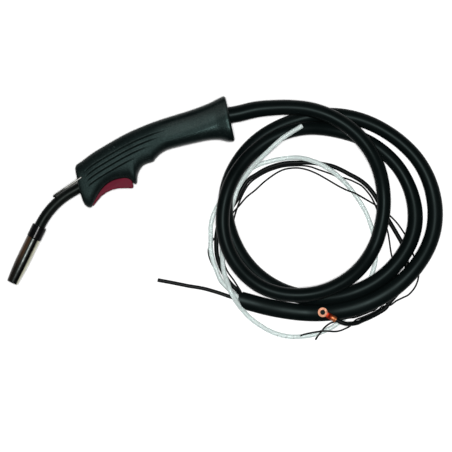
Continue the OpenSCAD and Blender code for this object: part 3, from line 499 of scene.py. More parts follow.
# The bare tails: a start is to the right of the cut face's middle and above it, and a wall
# and a bore's depth make the far end hollow. A point without a height lies on the floor
tailSteps = 6
tails = {
    "power": {
        "start": (5.4, -0.6), "r": 2.8, "sides": 20, "far": "connector",
        "slot": "cable_black", "node": "power_cable",
        "route": [(155, -134, 8), (147, -126, 4), (139, -118), (132, -108), (126, -96),
                  (122, -82, 3.5), (121, -66, 5), (122, -52, 5), (126, -39), (134, -28),
                  (141.5, -19.5), (148, -10), (153.5, 1), (159, 10.5), (165, 16.5), (171, 20.2),
                  (179, 25.2), (186.5, 29), (194, 31.8), (203, 34.4), (212, 35.8), (221, 36.3),
                  (231, 36.5), (242, 36.3), (252.5, 35.1), (262, 33.6), (272, 31), (283, 26),
                  (291.5, 21.4), (300, 17), (308, 11.8), (316, 4.5), (323, -4.5, 3),
                  (328.5, -14, 4), (335, -26, 5), (342.5, -39, 3.5), (351.5, -54), (360, -70),
                  (364.5, -88), (363.5, -106), (359, -121), (351, -133), (343, -142),
                  (337.4, -149.8), (330.4, -154.6, 3), (322.9, -158.7, 4), (315.4, -162.1, 6.5),
                  (307.7, -165, 10.5), (300.3, -167.9, 15), (291, -169, 20), (284, -168.4, 22),
                  (276, -165.2, 22), (268, -160.8, 22)]},
    "hose": {
        "start": (-0.6, 1.4), "r": 2.9, "sides": 20, "wall": 0.9, "bore": 12, "far": "bare",
        "slot": "hose_clear", "node": "gas_hose",
        "route": [(156, -140, 9.9), (147, -134, 8.5), (138, -126, 5.5), (128, -116, 5.5),
                  (122, -103, 5.5), (117, -89, 5.5), (114, -75, 5.5), (114, -60, 5),
                  (114, -45, 3), (117, -31), (123, -19), (132, -7), (142, 6), (152, 18),
                  (162.5, 27), (175, 33.6), (190, 38.2), (204, 41.2), (218, 42.6, 3.5),
                  (227, 42.6, 5.6), (236, 40.8, 8), (244, 38.2, 9), (252, 35.2, 9.4),
                  (267, 26.6, 9), (280, 16, 6.5), (290.5, 5.6, 4), (299.5, -6), (308, -19),
                  (315, -33), (321, -51), (325, -69), (325, -87), (321, -104), (313, -123),
                  (301, -142), (291, -155), (281, -166), (266, -176), (248, -183), (231, -186),
                  (213, -186), (194, -181), (176, -171), (163, -161, 3), (154, -151, 5.5),
                  (146, -140, 12.5), (140, -129, 14.5), (135.5, -117, 13), (131, -104, 9.5),
                  (129, -89, 6.6), (128.4, -73, 4.8), (131.5, -55, 4), (136.4, -38, 5.5),
                  (139.8, -24, 6), (143.4, -12, 7), (148.4, 3, 7.5), (156, 15.6, 9.5),
                  (165.2, 28, 15), (176.4, 40.2, 24), (189, 52, 32.4), (202, 64, 35),
                  (215, 73, 35), (230, 82, 34.5)]},
    "wireA": {
        "start": (2.4, -3.2), "r": 1.1, "lie": 1, "sides": 12, "far": "bare",
        "slot": "lead_black", "node": "trigger_wire_a",
        "route": [(155, -138, 3.5), (147, -132), (137, -124), (129, -115), (122, -104),
                  (116, -94), (112, -84), (111, -75), (114, -67), (118, -61), (124, -54),
                  (131, -44), (137, -35), (143, -27), (151, -18), (159.5, -8), (170, 0.4),
                  (175, 5), (181, 10.6), (187, 15.4), (193, 19.8), (199, 23.6), (206, 27),
                  (213, 28.8), (221, 29.6), (229, 29.2), (239, 26.8), (250, 22.2), (261.5, 15.8),
                  (273, 9, 1.5), (280, 5, 3), (288, 1, 6), (297, -2.4, 8), (304, -6, 7),
                  (312, -10.4, 2.5), (324, -17.4), (337, -26), (349, -37), (357, -47),
                  (365, -60), (372, -78), (378, -96), (380, -109), (376, -122), (368, -132),
                  (360, -136.4), (351.5, -140.6), (345, -145.2, 3.5), (340, -146.6, 7),
                  (333.6, -147.8, 5), (327.5, -152.6, 1.5), (318.4, -157.2), (309, -161.2),
                  (301, -164.2), (296.4, -168), (292, -173), (285, -176.6), (279, -178.8, 1.6),
                  (273, -179.6, 4.5), (264, -179, 8), (255, -179, 9), (243, -181, 8),
                  (234, -183, 7), (228, -185, 7)]},
    "wireB": {
        "start": (7.6, -2.6), "r": 1.1, "lie": 1, "sides": 12, "far": "bare",
        "slot": "lead_black", "node": "trigger_wire_b",
        "route": [(155, -132, 4), (151, -126), (144, -115), (135, -102), (131, -89), (134, -73),
                  (138.5, -56), (142.5, -40), (145.4, -29, 2.6), (148, -21, 3.6),
                  (151, -13, 2.2), (154, -6), (157.6, 1), (162, 7.8), (167, 13), (172.5, 17),
                  (180, 21.6), (188, 25.5), (195.5, 28.2), (204, 30.7), (212.5, 32), (221, 32.5),
                  (231.5, 32.6), (242, 31), (250.5, 28), (261.5, 24.2), (268, 21.8), (276, 18.6),
                  (285, 16.6), (292.5, 14.2), (299, 11.2), (307, 6.8), (314, -0.4),
                  (319.5, -8, 2), (324, -17, 3.5), (328.5, -28, 1.5), (335, -40), (340, -50),
                  (342.5, -63), (344, -74), (346, -84), (350.5, -93), (354, -101),
                  (351.5, -107.6), (345, -114), (338.5, -121), (334.5, -130), (331.5, -140),
                  (326.1, -150.3), (317.2, -154.6), (307.9, -158.4), (298.4, -161.5, 3.5),
                  (291.5, -162, 6.5), (283, -163.6, 7.5), (275, -166.4, 5.5), (267, -169, 3),
                  (260, -174, 5), (255, -180, 7), (251, -185, 6.5), (248, -190, 3.5)]},
    "liner": {
        "start": (-6, -0.8), "r": 2.4, "sides": 20, "wall": 1.4, "bore": 12, "far": "bare",
        "slot": "liner_black", "node": "wire_liner",
        "route": [(156, -143, 5), (147, -138, 2.5), (136, -134.3), (122, -129.5), (104, -124.5),
                  (85, -121.3), (66, -117.5), (46, -113.8)]},
}
tailPieces = {}
for name, tail in tails.items():
    lie = tail.get("lie", tail["r"])
    route = [Vector((*p, lie)[:3]) * mm for p in tail["route"]]
    path = smoothLine([fromCut(*tail["start"])] + route, tailSteps)
    r = tail["r"] * mm
    tailPieces[name] = tube(name, path, tail["sides"], lambda i, a, r=r: (r, r),
                            tail.get("wall", 0) * mm, tail.get("bore", 0) * mm)
    tail["path"], tail["length"] = path, lengthsAlong(path)[-1]
    print(name, "length", round(tail["length"], 3))
print("sheath length", round(sheathLength, 3))

print("handle shells")


# Sine or cosine of an ellipse turned into that of the handle's squarer section
def squared(value):
    return (1 if value > 0 else -1 if value < 0 else 0) * abs(value) ** (2 / handle["corner"])


# How far an end face's rounded edge draws a section in, at a distance from the face
def edgeInset(distance, radius):
    return 0 if distance >= radius else radius - sqrt(radius ** 2 - (radius - distance) ** 2)


# Steps round a half section and along the lining, how far the edges at the seam stand in and
# back from it, and what the shells leave open: the neck, the cable, the trigger's slot, the
# hook's pivot and the screws' heads
shells = {
    "arcSteps": 44, "liningSteps": 90, "seam": 0.3, "seamBack": 0.05, "overlap": 1,
    "stations": ([handle["front"] + x for x in (0, 0.1, 0.35, 0.7, 1.2, 1.8, 2.5)]
                 + [6.0 + 1.2 * k for k in range(165)]
                 + [204.5, 205.3, 206, 206.6, 207.1, 207.4, 207.5]),
    "neck": {"at": 7, "length": 30, "r": 6.9}, "gland": {"at": -10, "length": 40, "r": 10.5},
    "slot": [(11.5, -36), (11.5, -21.5), (22, -10.4), (31, -2.6), (41, 3), (50, 4.6),
             (60, 4.6), (70.3, 4.6), (70.3, -36)],
    "slotHalf": 6.8, "hook": {"place": (7.8, 12), "length": 60, "r": 1.2},
    "screws": {"places": [(20, 26), (96, 48), (150, 58.5), (176, 31)], "length": 15,
               "r": 3.1, "out": 3.5},
}


# Half a section from the top edge over the side to the bottom edge, with its two ends drawn
# in where it has a seam
def halfArc(x, low, high, half, seam=0.0):
    arc = []
    for k in range(shells["arcSteps"] + 1):
        a = pi * k / shells["arcSteps"]
        y = (high + low) / 2 + (high - low) / 2 * squared(cos(a))
        z = half * squared(sin(a))
        if k in (0, shells["arcSteps"]):
            y += seam * (1 if k else -1)
        arc.append((x, y, max(z, shells["seamBack"] if seam else 0)))
    return arc


# Sections become a closed solid, with a fan from the middle at either end
def closedSolid(name, sections):
    rings = [[onHandle(*p) for p in section + [section[0]]] for section in sections]
    for place, ring in ((0, rings[0]), (len(rings) + 1, rings[-1])):
        rings.insert(place, [sum(ring[:-1], Vector()) / (len(ring) - 1)] * len(ring))
    return loft(name, rings, [[(0, 0)] * len(rings[0])] * len(rings))


def handleSection(x):
    inset = (edgeInset(x - handle["front"], handle["frontEdge"])
             + edgeInset(handle["length"] - x, handle["rearEdge"]))
    return halfArc(x, handleBottom(x) + inset, handleTop(x) - inset, handleHalf(x) - inset,
                   shells["seam"])


# The cavity's section, at a share of the way from front to rear
def liningSection(share):
    wall = handle["wall"]
    low, high = handle["front"] + wall, handle["length"] - wall
    inside = low + share * (high - low)
    arc = halfArc(inside, lineAt(handle["cavity"], inside), handleTop(inside) - wall,
                  handleHalf(inside) - wall)
    return arc + [(inside, arc[end][1], -shells["overlap"]) for end in (-1, 0)]


def barOnHandle(name, x, y, z, degrees, length, r, alongZ=False):
    bpy.ops.mesh.primitive_cylinder_add(vertices=64, radius=r * mm, depth=length * mm)
    bar = bpy.context.object
    bar.name = name
    a = radians(handle["turn"] + degrees)
    way = Vector((0, 0, 1)) if alongZ else Vector((cos(a), sin(a), 0))
    bar.rotation_mode = "QUATERNION"
    bar.rotation_quaternion = way.to_track_quat("Z", "Y")
    bar.location = onHandle(x, y, z)
    return bar


def prismOnHandle(name, outline, low, high):
    bpy.ops.mesh.primitive_circle_add(vertices=len(outline), fill_type="NGON")
    prism = bpy.context.object
    prism.name = name
    for vertex, (x, y) in zip(prism.data.vertices, outline):
        vertex.co = onHandle(x, y, low)
    shaped = bmesh.new()
    shaped.from_mesh(prism.data)
    raised = bmesh.ops.extrude_face_region(shaped, geom=shaped.faces[:])
    bmesh.ops.translate(shaped, vec=(0, 0, (high - low) * mm),
                        verts=[v for v in raised["geom"] if isinstance(v, bmesh.types.BMVert)])
    bmesh.ops.recalc_face_normals(shaped, faces=shaped.faces)
    shaped.to_mesh(prism.data)
    shaped.free()
    return prism


upperShell = closedSolid("upperShell", [handleSection(x) for x in shells["stations"]])
lining = closedSolid("lining", [liningSection(k / shells["liningSteps"])
                                for k in range(shells["liningSteps"] + 1)])
cutWith(upperShell, lining)
neck, gland, hook, screws = (shells[key] for key in ("neck", "gland", "hook", "screws"))
neckBar = barOnHandle("neckBar", *turned(neck["at"], 0, handle["neckTurn"]), 0,
                      handle["neckTurn"], neck["length"], neck["r"])
glandX, glandY = turned(gland["at"], 0, handle["glandTurn"])
glandBar = barOnHandle("glandBar", handle["length"] + glandX, handle["glandY"] + glandY, 0,
                       handle["glandTurn"], gland["length"], gland["r"])
slot = prismOnHandle("triggerSlot", shells["slot"], -shells["slotHalf"], shells["slotHalf"])
hookBar = barOnHandle("hookBar", *hook["place"], 0, 0, hook["length"], hook["r"], alongZ=True)
for cutter in (neckBar, glandBar, slot, hookBar):
    cutWith(upperShell, cutter)

# The lower shell mirrors the upper one and takes the screws' heads
pick(upperShell)
bpy.ops.object.duplicate(linked=False)
lowerShell = bpy.context.object
lowerShell.name = lowerShell.data.name = "lowerShell"
for vertex in lowerShell.data.vertices:
    vertex.co.z = 2 * handle["midZ"] * mm - vertex.co.z
shaped = bmesh.new()
shaped.from_mesh(lowerShell.data)
bmesh.ops.reverse_faces(shaped, faces=shaped.faces)
bmesh.ops.recalc_face_normals(shaped, faces=shaped.faces)
shaped.to_mesh(lowerShell.data)
shaped.free()


# Height of a shell's side over the plane where the shells meet
def sideZ(x, y):
    high, low = handleTop(x), handleBottom(x)
    v = abs((2 * y - high - low) / (high - low))
    return handleHalf(x) * (1 - v ** handle["corner"]) ** (1 / handle["corner"])


for x, y in screws["places"]:
    bore = barOnHandle("screwBore", x, y, -sideZ(x, y) - screws["out"], 0, screws["length"],
                       screws["r"], alongZ=True)
    cutWith(lowerShell, bore)
    dropPieces(bore)
dropPieces(lining, neckBar, glandBar, slot, hookBar)

print("trigger")
trigger = {
    "pivot": (8.6, -19.5), "bossR": 3.1, "bossReach": 6.2, "bossHalf": 4, "pinR": 1.55,
    "boreLength": 30, "half": 6.5, "bevel": 1.3, "bevelSteps": 4,
    "outline": [(13, -26), (15.2, -25.2), (19.5, -21.6), (26.5, -16.3), (33.5, -13),
                (41.5, -11.2), (49.5, -11.1), (56, -12.2), (62, -13.6), (67, -14.7),
                (68.6, -14.2), (69.3, -12.6), (69.4, -8), (68.6, -3.6), (66, -0.6),
                (62.5, 0.6), (46, 0.6), (34, -4.2), (24, -11), (14, -15.6), (11, -16)],
}
triggerPiece = prismOnHandle("triggerLever", trigger["outline"], -trigger["half"],
                             trigger["half"])
bevel(triggerPiece, trigger["bevel"], trigger["bevelSteps"])

# The pin's boss is round in front and reaches into the lever behind
bossOutline = [(trigger["pivot"][0] + (trigger["bossReach"] if a < 90 else 0)
                + trigger["bossR"] * cos(radians(a)),
                trigger["pivot"][1] + trigger["bossR"] * sin(radians(a)))
               for a in range(-90, 271, 12)]
boss = prismOnHandle("boss", bossOutline, -trigger["bossHalf"], trigger["bossHalf"])
bore = barOnHandle("bore", *trigger["pivot"], 0, 0, trigger["boreLength"], trigger["pinR"],
                   alongZ=True)
cutWith(triggerPiece, boss, "UNION")
cutWith(triggerPiece, bore)
dropPieces(boss, bore)
smoothShade(triggerPiece, 40)

print("ring terminal")
# Stations along the terminal from the cable's end: place, half width and half height
lug = {
    "ringR": 6.2, "holeR": 3.2, "reach": 13.5, "half": 0.75, "edge": 0.25, "edgeSteps": 3,
    "holeLength": 4, "socket": (-8, -4, 0.05), "socketR": 2.86, "sides": 40,
    "stations": [(-6, 3.35, 3.35), (-5.8, 3.65, 3.65), (-5.1, 3.7, 3.7), (-4.8, 3.5, 3.5),
                 (-4.3, 3.5, 3.5), (-4, 3.7, 3.7), (-1.2, 3.7, 3.7), (-0.8, 3.45, 3.3),
                 (0.6, 3.45, 3.3), (1, 3.75, 3.6), (2.4, 3.8, 3.3), (3.6, 3.8, 2.3),
                 (4.8, 3.6, 1.3), (6, 3.4, 0.85), (7.2, 3.5, 0.75), (9, 4.2, 0.75),
                 (11, 4.2, 0.75)],
}
lugStart = tails["power"]["path"][-1]
lugWay = lugStart - tails["power"]["path"][-2]
lugWay.z = 0
lugWay.normalize()


def onLug(x):
    return lugStart + lugWay * x * mm


lugPath = [onLug(station[0]) for station in lug["stations"]]
lugReach = [(wide * mm, high * mm) for x, wide, high in lug["stations"]]
lugPiece = tube("ringTerminal", lugPath, lug["sides"], lambda i, a: lugReach[i])


def standingBar(name, r, height):
    bpy.ops.mesh.primitive_cylinder_add(vertices=64, radius=r * mm, depth=height * mm,
                                        location=onLug(lug["reach"]))
    bar = bpy.context.object
    bar.name = name
    return bar


plate = standingBar("plate", lug["ringR"], 2 * lug["half"])
bevel(plate, lug["edge"], lug["edgeSteps"])
cutWith(lugPiece, plate, "UNION")
hole = standingBar("hole", lug["holeR"], lug["holeLength"])
cutWith(lugPiece, hole)
socket = tube("socket", [onLug(x) for x in lug["socket"]], 32,
              lambda i, a: (lug["socketR"] * mm, lug["socketR"] * mm))
cutWith(lugPiece, socket)
dropPieces(plate, hole, socket)
smoothShade(lugPiece, 35)


# Gives each vertex of a piece its place in UV
def markPiece(piece, places):
    layer = piece.data.uv_layers[0].data
    for loop in piece.data.loops:
        layer[loop.index].uv = places[loop.vertex_index]


# The terminal's UV runs from its barrel to its ring, and out from its middle line
lugSide = Vector((-lugWay.y, lugWay.x, 0))
markPiece(lugPiece, [((v.co - lugStart).dot(lugWay), (v.co - lugStart).dot(lugSide))
                     for v in lugPiece.data.vertices])


# The shells' UV runs along the handle and down from its top line
def shellPlace(spot):
    x, y = turned(spot.x / mm - handle["place"][0], spot.y / mm - handle["place"][1],
                  -handle["turn"])
    return x * mm, (handleTop(x) - y) * mm


for piece in (upperShell, lowerShell):
    markPiece(piece, [shellPlace(v.co) for v in piece.data.vertices])
    smoothShade(piece, 32)

print("materials")


def times(tree, a, b):
    return math(tree, "MULTIPLY", a, b)


def rise(tree, value, low, high):
    return remap(tree, value, low, high, soft=True)


def fall(tree, value, low, high, top=1.0, bottom=0.0):
    return remap(tree, value, low, high, top, bottom, soft=True)


def between(tree, value, ends):
    return remap(tree, value, 0.0, 1.0, *ends)


def splitOf(tree, vector):
    return node(tree, "ShaderNodeSeparateXYZ", {"Vector": vector}).outputs


# Shells: gloss black with grooves along the side, painted shade in the grooves, painted light on
# the side behind them, painted highlights as pale lines beside them and a shinier rim. A groove
# is its distance below the top line and its rear end
shellLook = {
    "rows": ((0.0147, 0.132), (0.0209, 0.122), (0.0273, 0.108), (0.034, 0.09)),
    "rowStart": (0.012, 0.02), "rowFade": 0.035, "highlightBeside": 0.0017, "highlightWidth": 0.0007,
    "colour": (0.0016, 0.0032, 0.0032, 1), "second": (0.0036, 0.0062, 0.006, 1),
    "dust": (0.07, 0.09, 0.09, 1), "film": (0.022, 0.027, 0.026, 1),
    "groove": (0.001, 0.002, 0.002, 1), "line": (0.022, 0.028, 0.027, 1),
    "filmX": (0.1, 0.14), "paintedRearLightTop": (0.006, 0.01), "paintedRearLightLow": (0.021, 0.0265),
    "rimX": (0.105, 0.125), "rimTop": (0.0045, 0.008), "rimLow": (0.0282, 0.0312),
    "rough": (0.44, 0.52), "rimShine": 0.16, "grainDepth": 0.0003, "grooveDepth": 0.0008,
}
groovesGroup, taken, given = newGroup("sideGrooves", [("Vector", vectorKind, None),
                                      ("Width", number, 0.0012)], [("Mask", number)])
split = splitOf(groovesGroup, taken["Vector"])
groove = None
for depth, end in shellLook["rows"]:
    away = math(groovesGroup, "ABSOLUTE", math(groovesGroup, "SUBTRACT", split["Y"], depth))
    line = math(groovesGroup, "SUBTRACT", 1.0,
                math(groovesGroup, "DIVIDE", away, taken["Width"]), clamp=True)
    fade = fall(groovesGroup, split["X"], end - shellLook["rowFade"], end)
    begin = rise(groovesGroup, split["X"], *shellLook["rowStart"])
    line = times(groovesGroup, line, times(groovesGroup, fade, begin))
    groove = line if groove is None else math(groovesGroup, "MAXIMUM", groove, line)
groovesGroup.links.new(groove, given["Mask"])


def grooves(tree, values):
    return node(tree, "ShaderNodeGroup", values, node_tree=groovesGroup).outputs["Mask"]


shellBlack, tree, shader, place = startMaterial("shellBlack", {
    "Base Color": shellLook["colour"], "Roughness": 0.48, "Specular IOR Level": 0.11,
    "Specular Tint": (0.62, 1, 0.95, 1)})
out = grain(tree, place, 620, 55, 0.6)
colour = mixColour(tree, out["Mottle"], shellLook["colour"], shellLook["second"])
colour = mixColour(tree, wear(tree, place, 0.3), colour, shellLook["dust"])
uvPlace = node(tree, "ShaderNodeTexCoord").outputs["UV"]
spot = splitOf(tree, uvPlace)
# Painted light: the rear of the side, below the top line and above the bottom rim, is made paler
# as if lit more, broken up by noise
rear = times(tree, rise(tree, spot["X"], *shellLook["filmX"]),
             fall(tree, spot["Y"], *shellLook["paintedRearLightLow"]))
rear = times(tree, rear, rise(tree, spot["Y"], *shellLook["paintedRearLightTop"]))
film = remap(tree, noiseOf(tree, place, 700.0, 4.0, 0.7), 0.35, 0.65, 0.2, 1.0)
colour = mixColour(tree, times(tree, rear, film), colour, shellLook["film"])
groove = grooves(tree, {"Vector": uvPlace})
# Painted shade: the grooves are darkened in colour as well as bumped in
colour = mixColour(tree, times(tree, groove, 0.7), colour, shellLook["groove"])
# Painted highlight: thin pale lines just above the grooves, broken by noise
beside = node(tree, "ShaderNodeMapping",
              {"Vector": uvPlace, "Location": (0, shellLook["highlightBeside"], 0)})
edge = grooves(tree, {"Vector": beside.outputs["Vector"], "Width": shellLook["highlightWidth"]})
broken = remap(tree, noiseOf(tree, place, 260.0, 3.0, 0.6), 0.35, 0.6, 0.15, 0.9)
colour = mixColour(tree, times(tree, edge, broken), colour, shellLook["line"])
roughness = math(tree, "ADD", between(tree, out["Mottle"], shellLook["rough"]),
                 remap(tree, out["Height"], 0.35, 0.65, -0.035, 0.035))
rim = math(tree, "MAXIMUM", rise(tree, spot["Y"], *shellLook["rimLow"]),
           fall(tree, spot["Y"], *shellLook["rimTop"]))
rim = times(tree, rim, rise(tree, spot["X"], *shellLook["rimX"]))
roughness = math(tree, "SUBTRACT", roughness, times(tree, rim, shellLook["rimShine"]))
normal = bump(tree, out["Height"], 0.7, shellLook["grainDepth"])
normal = bump(tree, times(tree, groove, -1.0), 0.9, shellLook["grooveDepth"], normal)
feed(tree, shader, colour, roughness, normal)

# Ring terminal: its colour runs from the crimped barrel over the neck to the ring, as a painted
# reflection: orange on the barrel, deep red painted shade on the neck and pale on the ring
lugLook = {
    "colour": (0.45, 0.17, 0.07, 1), "stain": (0.2, 0.05, 0.02, 1), "rough": (0.5, 0.62),
    "tones": [(-0.0055, -0.004, (0.6, 0.2, 0.08, 1)), (-0.0005, 0.001, (0.3, 0.05, 0.02, 1)),
              (0.0015, 0.0035, (0.34, 0.02, 0.008, 1)),
              (0.007, 0.0085, (0.38, 0.2, 0.13, 1))],
}
lugCopper, tree, shader, place = startMaterial("lugCopper", {
    "Base Color": lugLook["colour"], "Metallic": 1.0, "Roughness": 0.55})
along = splitOf(tree, node(tree, "ShaderNodeTexCoord").outputs["UV"])["X"]
out = grain(tree, place, 1800, 220)
colour = lugLook["colour"]
# Painted reflection and shade along the terminal: lighter on the barrel and the ring, deep red on
# the neck
for begin, end, tone in lugLook["tones"]:
    colour = mixColour(tree, rise(tree, along, begin, end), colour, tone)
colour = mixColour(tree, times(tree, out["Mottle"], 0.35), colour, lugLook["stain"])
feed(tree, shader, colour, between(tree, out["Mottle"], lugLook["rough"]),
     bump(tree, out["Height"], 0.5, 0.00004))

# Hook: bare spring steel, dark towards its closed end
hookLook = {
    "colour": (0.33, 0.33, 0.31, 1), "second": (0.2, 0.2, 0.18, 1),
    "black": (0.02, 0.021, 0.019, 1), "blackEnds": (-0.073, -0.066), "rough": (0.5, 0.64),
}
hookSteel, tree, shader, place = startMaterial("hookSteel", {
    "Base Color": hookLook["colour"], "Metallic": 1.0, "Roughness": 0.57})
out = grain(tree, place, 1500, 90)
colour = mixColour(tree, out["Mottle"], hookLook["colour"], hookLook["second"])
outer = fall(tree, splitOf(tree, place)["X"], *hookLook["blackEnds"], 0.9)
colour = mixColour(tree, outer, colour, hookLook["black"])
feed(tree, shader, colour, between(tree, out["Mottle"], hookLook["rough"]),
     bump(tree, out["Height"], 0.5, 0.00003))

# Nozzle: dark metal with a painted reflection: pale along one side and round the mouth, and
# brown on the other side. Aside runs across the torch's axis and along runs to the mouth
nozzleLook = {
    "aside": (-0.9, 0.43), "along": (-0.43, -0.9),
    "colour": (0.042, 0.047, 0.045, 1), "second": (0.003, 0.0035, 0.003, 1),
    "clean": (0.5, 0.5, 0.38, 1), "paleReflectionSecond": (0.34, 0.34, 0.26, 1),
    "tint": (0.045, 0.024, 0.011, 1), "paleReflectionAside": (0.0675, 0.0685),
    "mouth": (0.1645, 0.1652), "brownReflectionAside": (0.0745, 0.0765), "brownReflectionAlong": (0.118, 0.15),
    "brownReflectionMetal": 0.15, "rough": (0.24, 0.34),
}
nozzleMetal, tree, shader, place = startMaterial("nozzleMetal", {
    "Base Color": nozzleLook["colour"], "Metallic": 1.0, "Roughness": 0.3})
split = splitOf(tree, place)
aside, along = [math(tree, "ADD", times(tree, split["X"], x), times(tree, split["Y"], y))
                for x, y in (nozzleLook["aside"], nozzleLook["along"])]
out = grain(tree, place, 900, 230, 0.9)
colour = mixColour(tree, out["Mottle"], nozzleLook["colour"], nozzleLook["second"])
# Painted reflection: one side and the mouth get a pale metal colour, as if reflecting the floor
paleReflectionMask = math(tree, "MAXIMUM", fall(tree, aside, *nozzleLook["paleReflectionAside"]),
               rise(tree, along, *nozzleLook["mouth"]))
paleReflectionColour = mixColour(tree, out["Mottle"], nozzleLook["clean"], nozzleLook["paleReflectionSecond"])
colour = mixColour(tree, paleReflectionMask, colour, paleReflectionColour)
# Painted reflection: the other side gets a brown, less metallic colour, fading towards the mouth
tint = times(tree, rise(tree, aside, *nozzleLook["brownReflectionAside"]),
             fall(tree, along, *nozzleLook["brownReflectionAlong"], bottom=0.25))
colour = mixColour(tree, tint, colour, nozzleLook["tint"])
tree.links.new(remap(tree, tint, 0.0, 1.0, 1.0, nozzleLook["brownReflectionMetal"]),
               shader.inputs["Metallic"])
feed(tree, shader, colour, between(tree, out["Mottle"], nozzleLook["rough"]),
     bump(tree, out["Height"], 0.3, 0.00008))

plainLooks = {
    "sheath_black": {
        "colour": (0.0014, 0.0026, 0.0026, 1), "second": (0.0028, 0.0046, 0.0046, 1),
        "specular": 0.05, "tint": (0.75, 1, 0.97, 1), "fine": 1200, "slow": 24, "softness": 0.8,
        "rough": (0.31, 0.43), "bump": 0.0001, "dust": 0.1,
        "dustColour": (0.03, 0.04, 0.038, 1)},
    "cable_black": {
        "colour": (0.0014, 0.0024, 0.0024, 1), "second": (0.003, 0.004, 0.004, 1),
        "specular": 0.05, "fine": 2000, "slow": 110, "rough": (0.36, 0.46), "bump": 0.00006},
    "lead_black": {
        "colour": (0.002, 0.0022, 0.0024, 1), "second": (0.004, 0.0045, 0.0045, 1),
        "specular": 0.06, "fine": 2500, "slow": 150, "rough": (0.36, 0.5), "bump": 0.00005},
    "liner_black": {
        "colour": (0.002, 0.003, 0.003, 1), "second": (0.005, 0.006, 0.006, 1), "specular": 0.08,
        "fine": 1800, "slow": 90, "rough": (0.4, 0.5), "bump": 0.00008},
    "hose_clear": {
        "colour": (0.79, 0.88, 0.86, 1), "second": (0.72, 0.81, 0.79, 1), "specular": 0.25,
        "shader": {"Roughness": 0.3, "Transmission Weight": 0.42, "IOR": 1.35}, "fine": 900,
        "slow": 70, "softness": 0.4, "rough": (0.24, 0.36), "strength": 0.1, "bump": 0.00003},
    "sleeve_black": {
        "colour": (0.0014, 0.0022, 0.002, 1), "second": (0.0035, 0.0045, 0.004, 1),
        "specular": 0.07, "tint": (0.85, 1, 0.93, 1), "fine": 1500, "slow": 100,
        "rough": (0.36, 0.44), "bump": 0.00008, "dust": 0.1,
        "dustColour": (0.03, 0.035, 0.03, 1)},
    "insulator_black": {
        "colour": (0.0016, 0.0018, 0.002, 1), "second": (0.004, 0.004, 0.0045, 1),
        "specular": 0.1, "fine": 1400, "slow": 120, "rough": (0.2, 0.235), "bump": 0.00006,
        "dust": 0.15, "dustColour": (0.05, 0.045, 0.04, 1)},
    "trigger_maroon": {
        "colour": (0.085, 0.0055, 0.015, 1), "second": (0.115, 0.0085, 0.021, 1),
        "specular": 0.035, "fine": 1300, "slow": 90, "rough": (0.42, 0.54), "bump": 0.0001,
        "dust": 0.08, "dustColour": (0.16, 0.04, 0.06, 1)},
    "switch_grey": {
        "colour": (0.03, 0.03, 0.032, 1), "second": (0.05, 0.05, 0.053, 1), "specular": 0.4,
        "fine": 1500, "slow": 130, "rough": (0.4, 0.55), "bump": 0.00008},
    "plunger_red": {
        "colour": (0.35, 0.03, 0.02, 1), "second": (0.45, 0.05, 0.035, 1), "specular": 0.5,
        "fine": 1800, "slow": 200, "rough": (0.3, 0.4), "bump": 0.00005},
    "screw_steel": {
        "colour": (0.5, 0.5, 0.5, 1), "second": (0.36, 0.35, 0.33, 1), "metal": 1, "fine": 1600,
        "slow": 260, "rough": (0.28, 0.45), "bump": 0.00006, "dust": 0.3,
        "dustColour": (0.12, 0.11, 0.1, 1)},
    "spring_steel": {
        "colour": (0.33, 0.33, 0.31, 1), "second": (0.2, 0.2, 0.18, 1), "metal": 1, "fine": 1500,
        "slow": 90, "rough": (0.5, 0.64), "bump": 0.00003},
    "copper": {
        "colour": (0.72, 0.3, 0.16, 1), "second": (0.45, 0.18, 0.1, 1), "metal": 1, "fine": 1500,
        "slow": 150, "rough": (0.22, 0.42), "bump": 0.00005, "dust": 0.3,
        "dustColour": (0.12, 0.07, 0.05, 1)},
    "brass": {
        "colour": (0.72, 0.5, 0.2, 1), "second": (0.5, 0.33, 0.12, 1), "metal": 1, "fine": 1500,
        "slow": 150, "rough": (0.22, 0.4), "bump": 0.00005, "dust": 0.25,
        "dustColour": (0.15, 0.1, 0.05, 1)},
}
looks = {"lug_copper": lugCopper, "hook_steel": hookSteel, "nozzle_metal": nozzleMetal,
         "shell_black": shellBlack}
for slot, look in plainLooks.items():
    first, *others = slot.split("_")
    looks[slot] = mottled(first + "".join(word.title() for word in others), look)

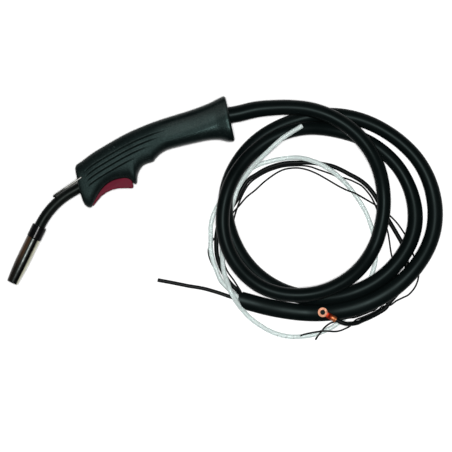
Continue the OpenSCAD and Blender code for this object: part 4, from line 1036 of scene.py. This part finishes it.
# The solids that wear each look
wornBy = {
    "shell_black": ["handle_upper_shell", "handle_lower_shell"],
    "screw_steel": ["handle_screws"],
    "sleeve_black": ["neck_sleeve"],
    "copper": ["neck_tube", "contact_tip"],
    "brass": ["neck_connector", "tip_holder", "switch_terminals"],
    "insulator_black": ["nozzle_insulator", "cable_clamp"],
    "spring_steel": ["nozzle_spring", "trigger_pin"],
    "nozzle_metal": ["gas_nozzle"],
    "trigger_maroon": ["trigger"],
    "switch_grey": ["microswitch_body"],
    "plunger_red": ["switch_plunger"],
    "lead_black": ["switch_leads", "trigger_wire_a", "trigger_wire_b"],
    "hook_steel": ["hanging_hook"],
    "hose_clear": ["inner_gas_hose", "gas_hose"],
    "cable_black": ["inner_power_cable", "power_cable"],
    "liner_black": ["inner_liner", "wire_liner"],
    "sheath_black": ["cable_lead", "cable_coil"],
    "lug_copper": ["ring_terminal"],
}
for slot, names in wornBy.items():
    for name in names:
        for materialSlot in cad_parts[name].material_slots:
            materialSlot.material = looks[slot]

# Each new piece rides on its body and stands for its solids
finishPiece(upperShell, "torch", "shell_black", "handle_upper_shell")
finishPiece(lowerShell, "torch", "shell_black", "handle_lower_shell")
finishPiece(triggerPiece, "trigger", "trigger_maroon", "trigger")
finishPiece(lugPiece, "torch", "lug_copper", "ring_terminal")
finishPiece(sheathPiece, "torch", "sheath_black", "cable_lead", "cable_coil")
for name, tail in tails.items():
    piece = tailPieces[name]
    finishPiece(piece, "torch", tail["slot"], tail["node"])

print("floor and light")
ground = {"size": 6, "z": -0.0002, "Base Color": (0.95, 0.95, 0.95, 1), "Roughness": 0.9,
          "Specular IOR Level": 0.1}
bpy.ops.mesh.primitive_plane_add(size=ground["size"],
                                 location=(view["x"], view["y"], ground["z"]))
floor = bpy.context.object
floor.name = "floor"
floorPaint = bpy.data.materials.new("floorPaint")
floorPaint.use_nodes = True
for label in ("Base Color", "Roughness", "Specular IOR Level"):
    floorPaint.node_tree.nodes["Principled BSDF"].inputs[label].default_value = ground[label]
floor.data.materials.append(floorPaint)

lamp = {"height": 3.0, "size": 0.55, "power": 103.0}
bpy.ops.object.light_add(type="AREA", location=(view["x"], view["y"], lamp["height"]))
keyLight = bpy.context.object
keyLight.name = "overhead"
keyLight.data.shape = "DISK"
keyLight.data.size = lamp["size"]
keyLight.data.energy = lamp["power"]

sky = {"Color": (0.8, 0.85, 0.85, 1), "Strength": 0.03}
world = bpy.context.scene.world or bpy.data.worlds.new("studio")
bpy.context.scene.world = world
world.use_nodes = True
for label, value in sky.items():
    world.node_tree.nodes["Background"].inputs[label].default_value = value
bpy.context.scene.view_settings.view_transform = "Standard"

print("finish")
